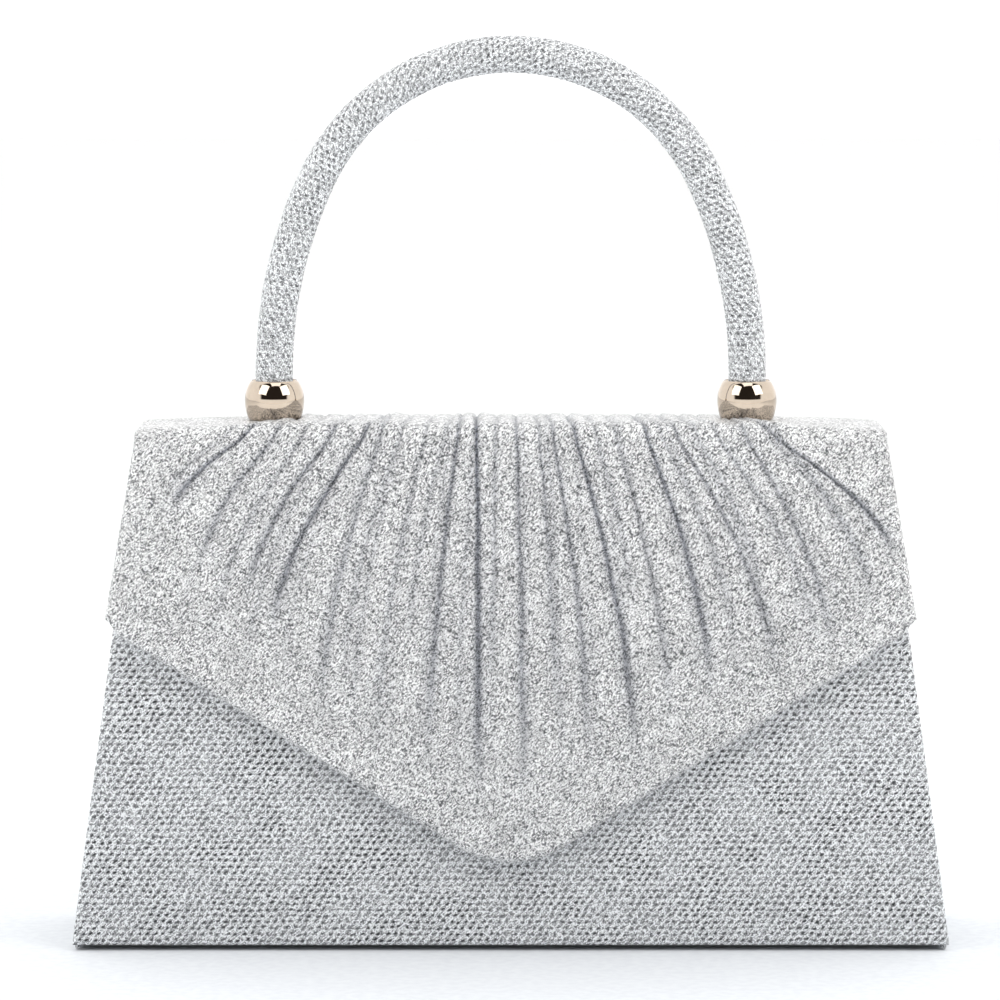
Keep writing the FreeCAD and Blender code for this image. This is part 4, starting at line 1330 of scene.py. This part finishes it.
def studio_world(brightness, dark):
    """White surroundings with a dark room in front of the bag, which the polished metal shows."""
    world = bpy.data.worlds.new("studio")
    bpy.context.scene.world = world
    world.use_nodes = True
    tree = world.node_tree
    ray = add(tree, "ShaderNodeTexCoord")
    split = add(tree, "ShaderNodeSeparateXYZ", {0: ray.outputs["Generated"]})
    front = remap(tree, split.outputs[1], *ROOM_FRONT)
    aside = add(tree, "ShaderNodeMath", {0: split.outputs[0]}, operation="ABSOLUTE")
    between = remap(tree, aside.outputs[0], *ROOM_SIDE)
    above = remap(tree, split.outputs[2], *ROOM_FOOT)
    room = add(tree, "ShaderNodeMath", {0: front, 1: between}, operation="MULTIPLY")
    room = add(tree, "ShaderNodeMath", {0: room.outputs[0], 1: above}, operation="MULTIPLY")
    colour = mix(tree, room.outputs[0], WHITE, opaque(dark))
    back = tree.nodes["Background"]
    tree.links.new(colour, back.inputs["Color"])
    back.inputs["Strength"].default_value = brightness


def floor_paper(colours):
    """White background paper, matt: painted a little greyer round the bag, as painted shade near it.
    """
    material, tree, shader = new_material("studio_paper", roughness=0.9)
    place = add(tree, "ShaderNodeTexCoord").outputs["Object"]
    away = add(tree, "ShaderNodeVectorMath", {0: place}, operation="LENGTH")
    # Painted shade: the floor is greyer near the bag and white further away.
    far = remap(tree, away.outputs["Value"], *FLOOR_FADE)
    tone = clouds(tree, place, 400.0, 3.0)
    near = mix(tree, tone, opaque(colours.ground_dark), opaque(colours.ground))
    dress(tree, shader, mix(tree, far, near, WHITE))
    return material


class BAG_OT_studio(bpy.types.Operator):
    """Make the pale floor, the three softboxes, the white surroundings and the camera"""
    bl_idname = "evening_bag.studio"
    bl_label = "Studio"

    def execute(self, context):
        settings = context.scene.evening_bag
        studio = settings.studio
        bm = bmesh.new()
        bmesh.ops.create_grid(bm, x_segments=1, y_segments=1, size=FLOOR_HALF)
        bmesh.ops.translate(bm, vec=(0, FLOOR_BACK, 0), verts=bm.verts[:])
        mesh = bpy.data.meshes.new("floor")
        bm.to_mesh(mesh)
        bm.free()
        floor = bpy.data.objects.new("floor", mesh)
        context.scene.collection.objects.link(floor)
        mesh.materials.append(floor_paper(settings.colours))
        studio_world(studio.dome, settings.colours.room)
        for azimuth, elevation, power in SOFTBOXES:
            lamp = bpy.data.lights.new("softbox", "AREA")
            lamp.size = studio.softbox
            lamp.energy = studio.softbox_power * power
            box = bpy.data.objects.new("softbox", lamp)
            azimuth, elevation = math.radians(azimuth), math.radians(elevation)
            away = Vector((math.sin(azimuth) * math.cos(elevation),
                           -math.cos(azimuth) * math.cos(elevation), math.sin(elevation)))
            box.location = LAMP_AIM + away * studio.softbox_distance
            box.rotation_euler = away.to_track_quat("Z", "Y").to_euler()
            context.scene.collection.objects.link(box)
        self.camera(context, studio)
        context.scene.view_settings.view_transform = "Standard"
        return {"FINISHED"}

    def camera(self, context, studio):
        """Long lens, a little above the bag, looking straight at its front."""
        lens = bpy.data.cameras.new("camera")
        lens.lens = studio.lens
        lens.sensor_width = SENSOR
        camera = bpy.data.objects.new("camera", lens)
        back = Vector((0, -math.cos(studio.elevation), math.sin(studio.elevation)))
        camera.location = CAMERA_AIM + back * studio.distance
        camera.rotation_euler = back.to_track_quat("Z", "Y").to_euler()
        context.scene.collection.objects.link(camera)
        context.scene.camera = camera


PIECES = (BAG_OT_front_wall, BAG_OT_back_wall, BAG_OT_base, BAG_OT_gussets, BAG_OT_pleated_cover,
          BAG_OT_flap_inside, BAG_OT_handle, BAG_OT_ferrules, BAG_OT_snap, BAG_OT_slip_pocket,
          BAG_OT_strap_rings, BAG_OT_hidden_parts, BAG_OT_studio)


class BAG_PT_evening_bag(bpy.types.Panel):
    """Sidebar panel with a button for each piece of the bag"""
    bl_idname = "BAG_PT_evening_bag"
    bl_label = "Evening bag"
    bl_space_type = "VIEW_3D"
    bl_region_type = "UI"
    bl_category = "Evening bag"

    def draw(self, context):
        for piece in PIECES:
            self.layout.operator(piece.bl_idname)
        settings = context.scene.evening_bag
        for group in GROUPS:
            box = self.layout.box()
            box.label(text=group.title())
            for name in GROUPS[group].__annotations__:
                box.prop(getattr(settings, group), name)


CLASSES = (*GROUPS.values(), BagSettings, *PIECES, BAG_PT_evening_bag)


def register():
    """Register the classes and the scene's settings."""
    for each in CLASSES:
        bpy.utils.register_class(each)
    bpy.types.Scene.evening_bag = PointerProperty(type=BagSettings)


def unregister():
    """Take the settings and the classes away again."""
    del bpy.types.Scene.evening_bag
    for each in reversed(CLASSES):
        bpy.utils.unregister_class(each)


def main():
    """Build every piece."""
    register()
    for piece in PIECES:
        group, name = piece.bl_idname.split(".")
        getattr(getattr(bpy.ops, group), name)()


if __name__ == "__main__":
    main()
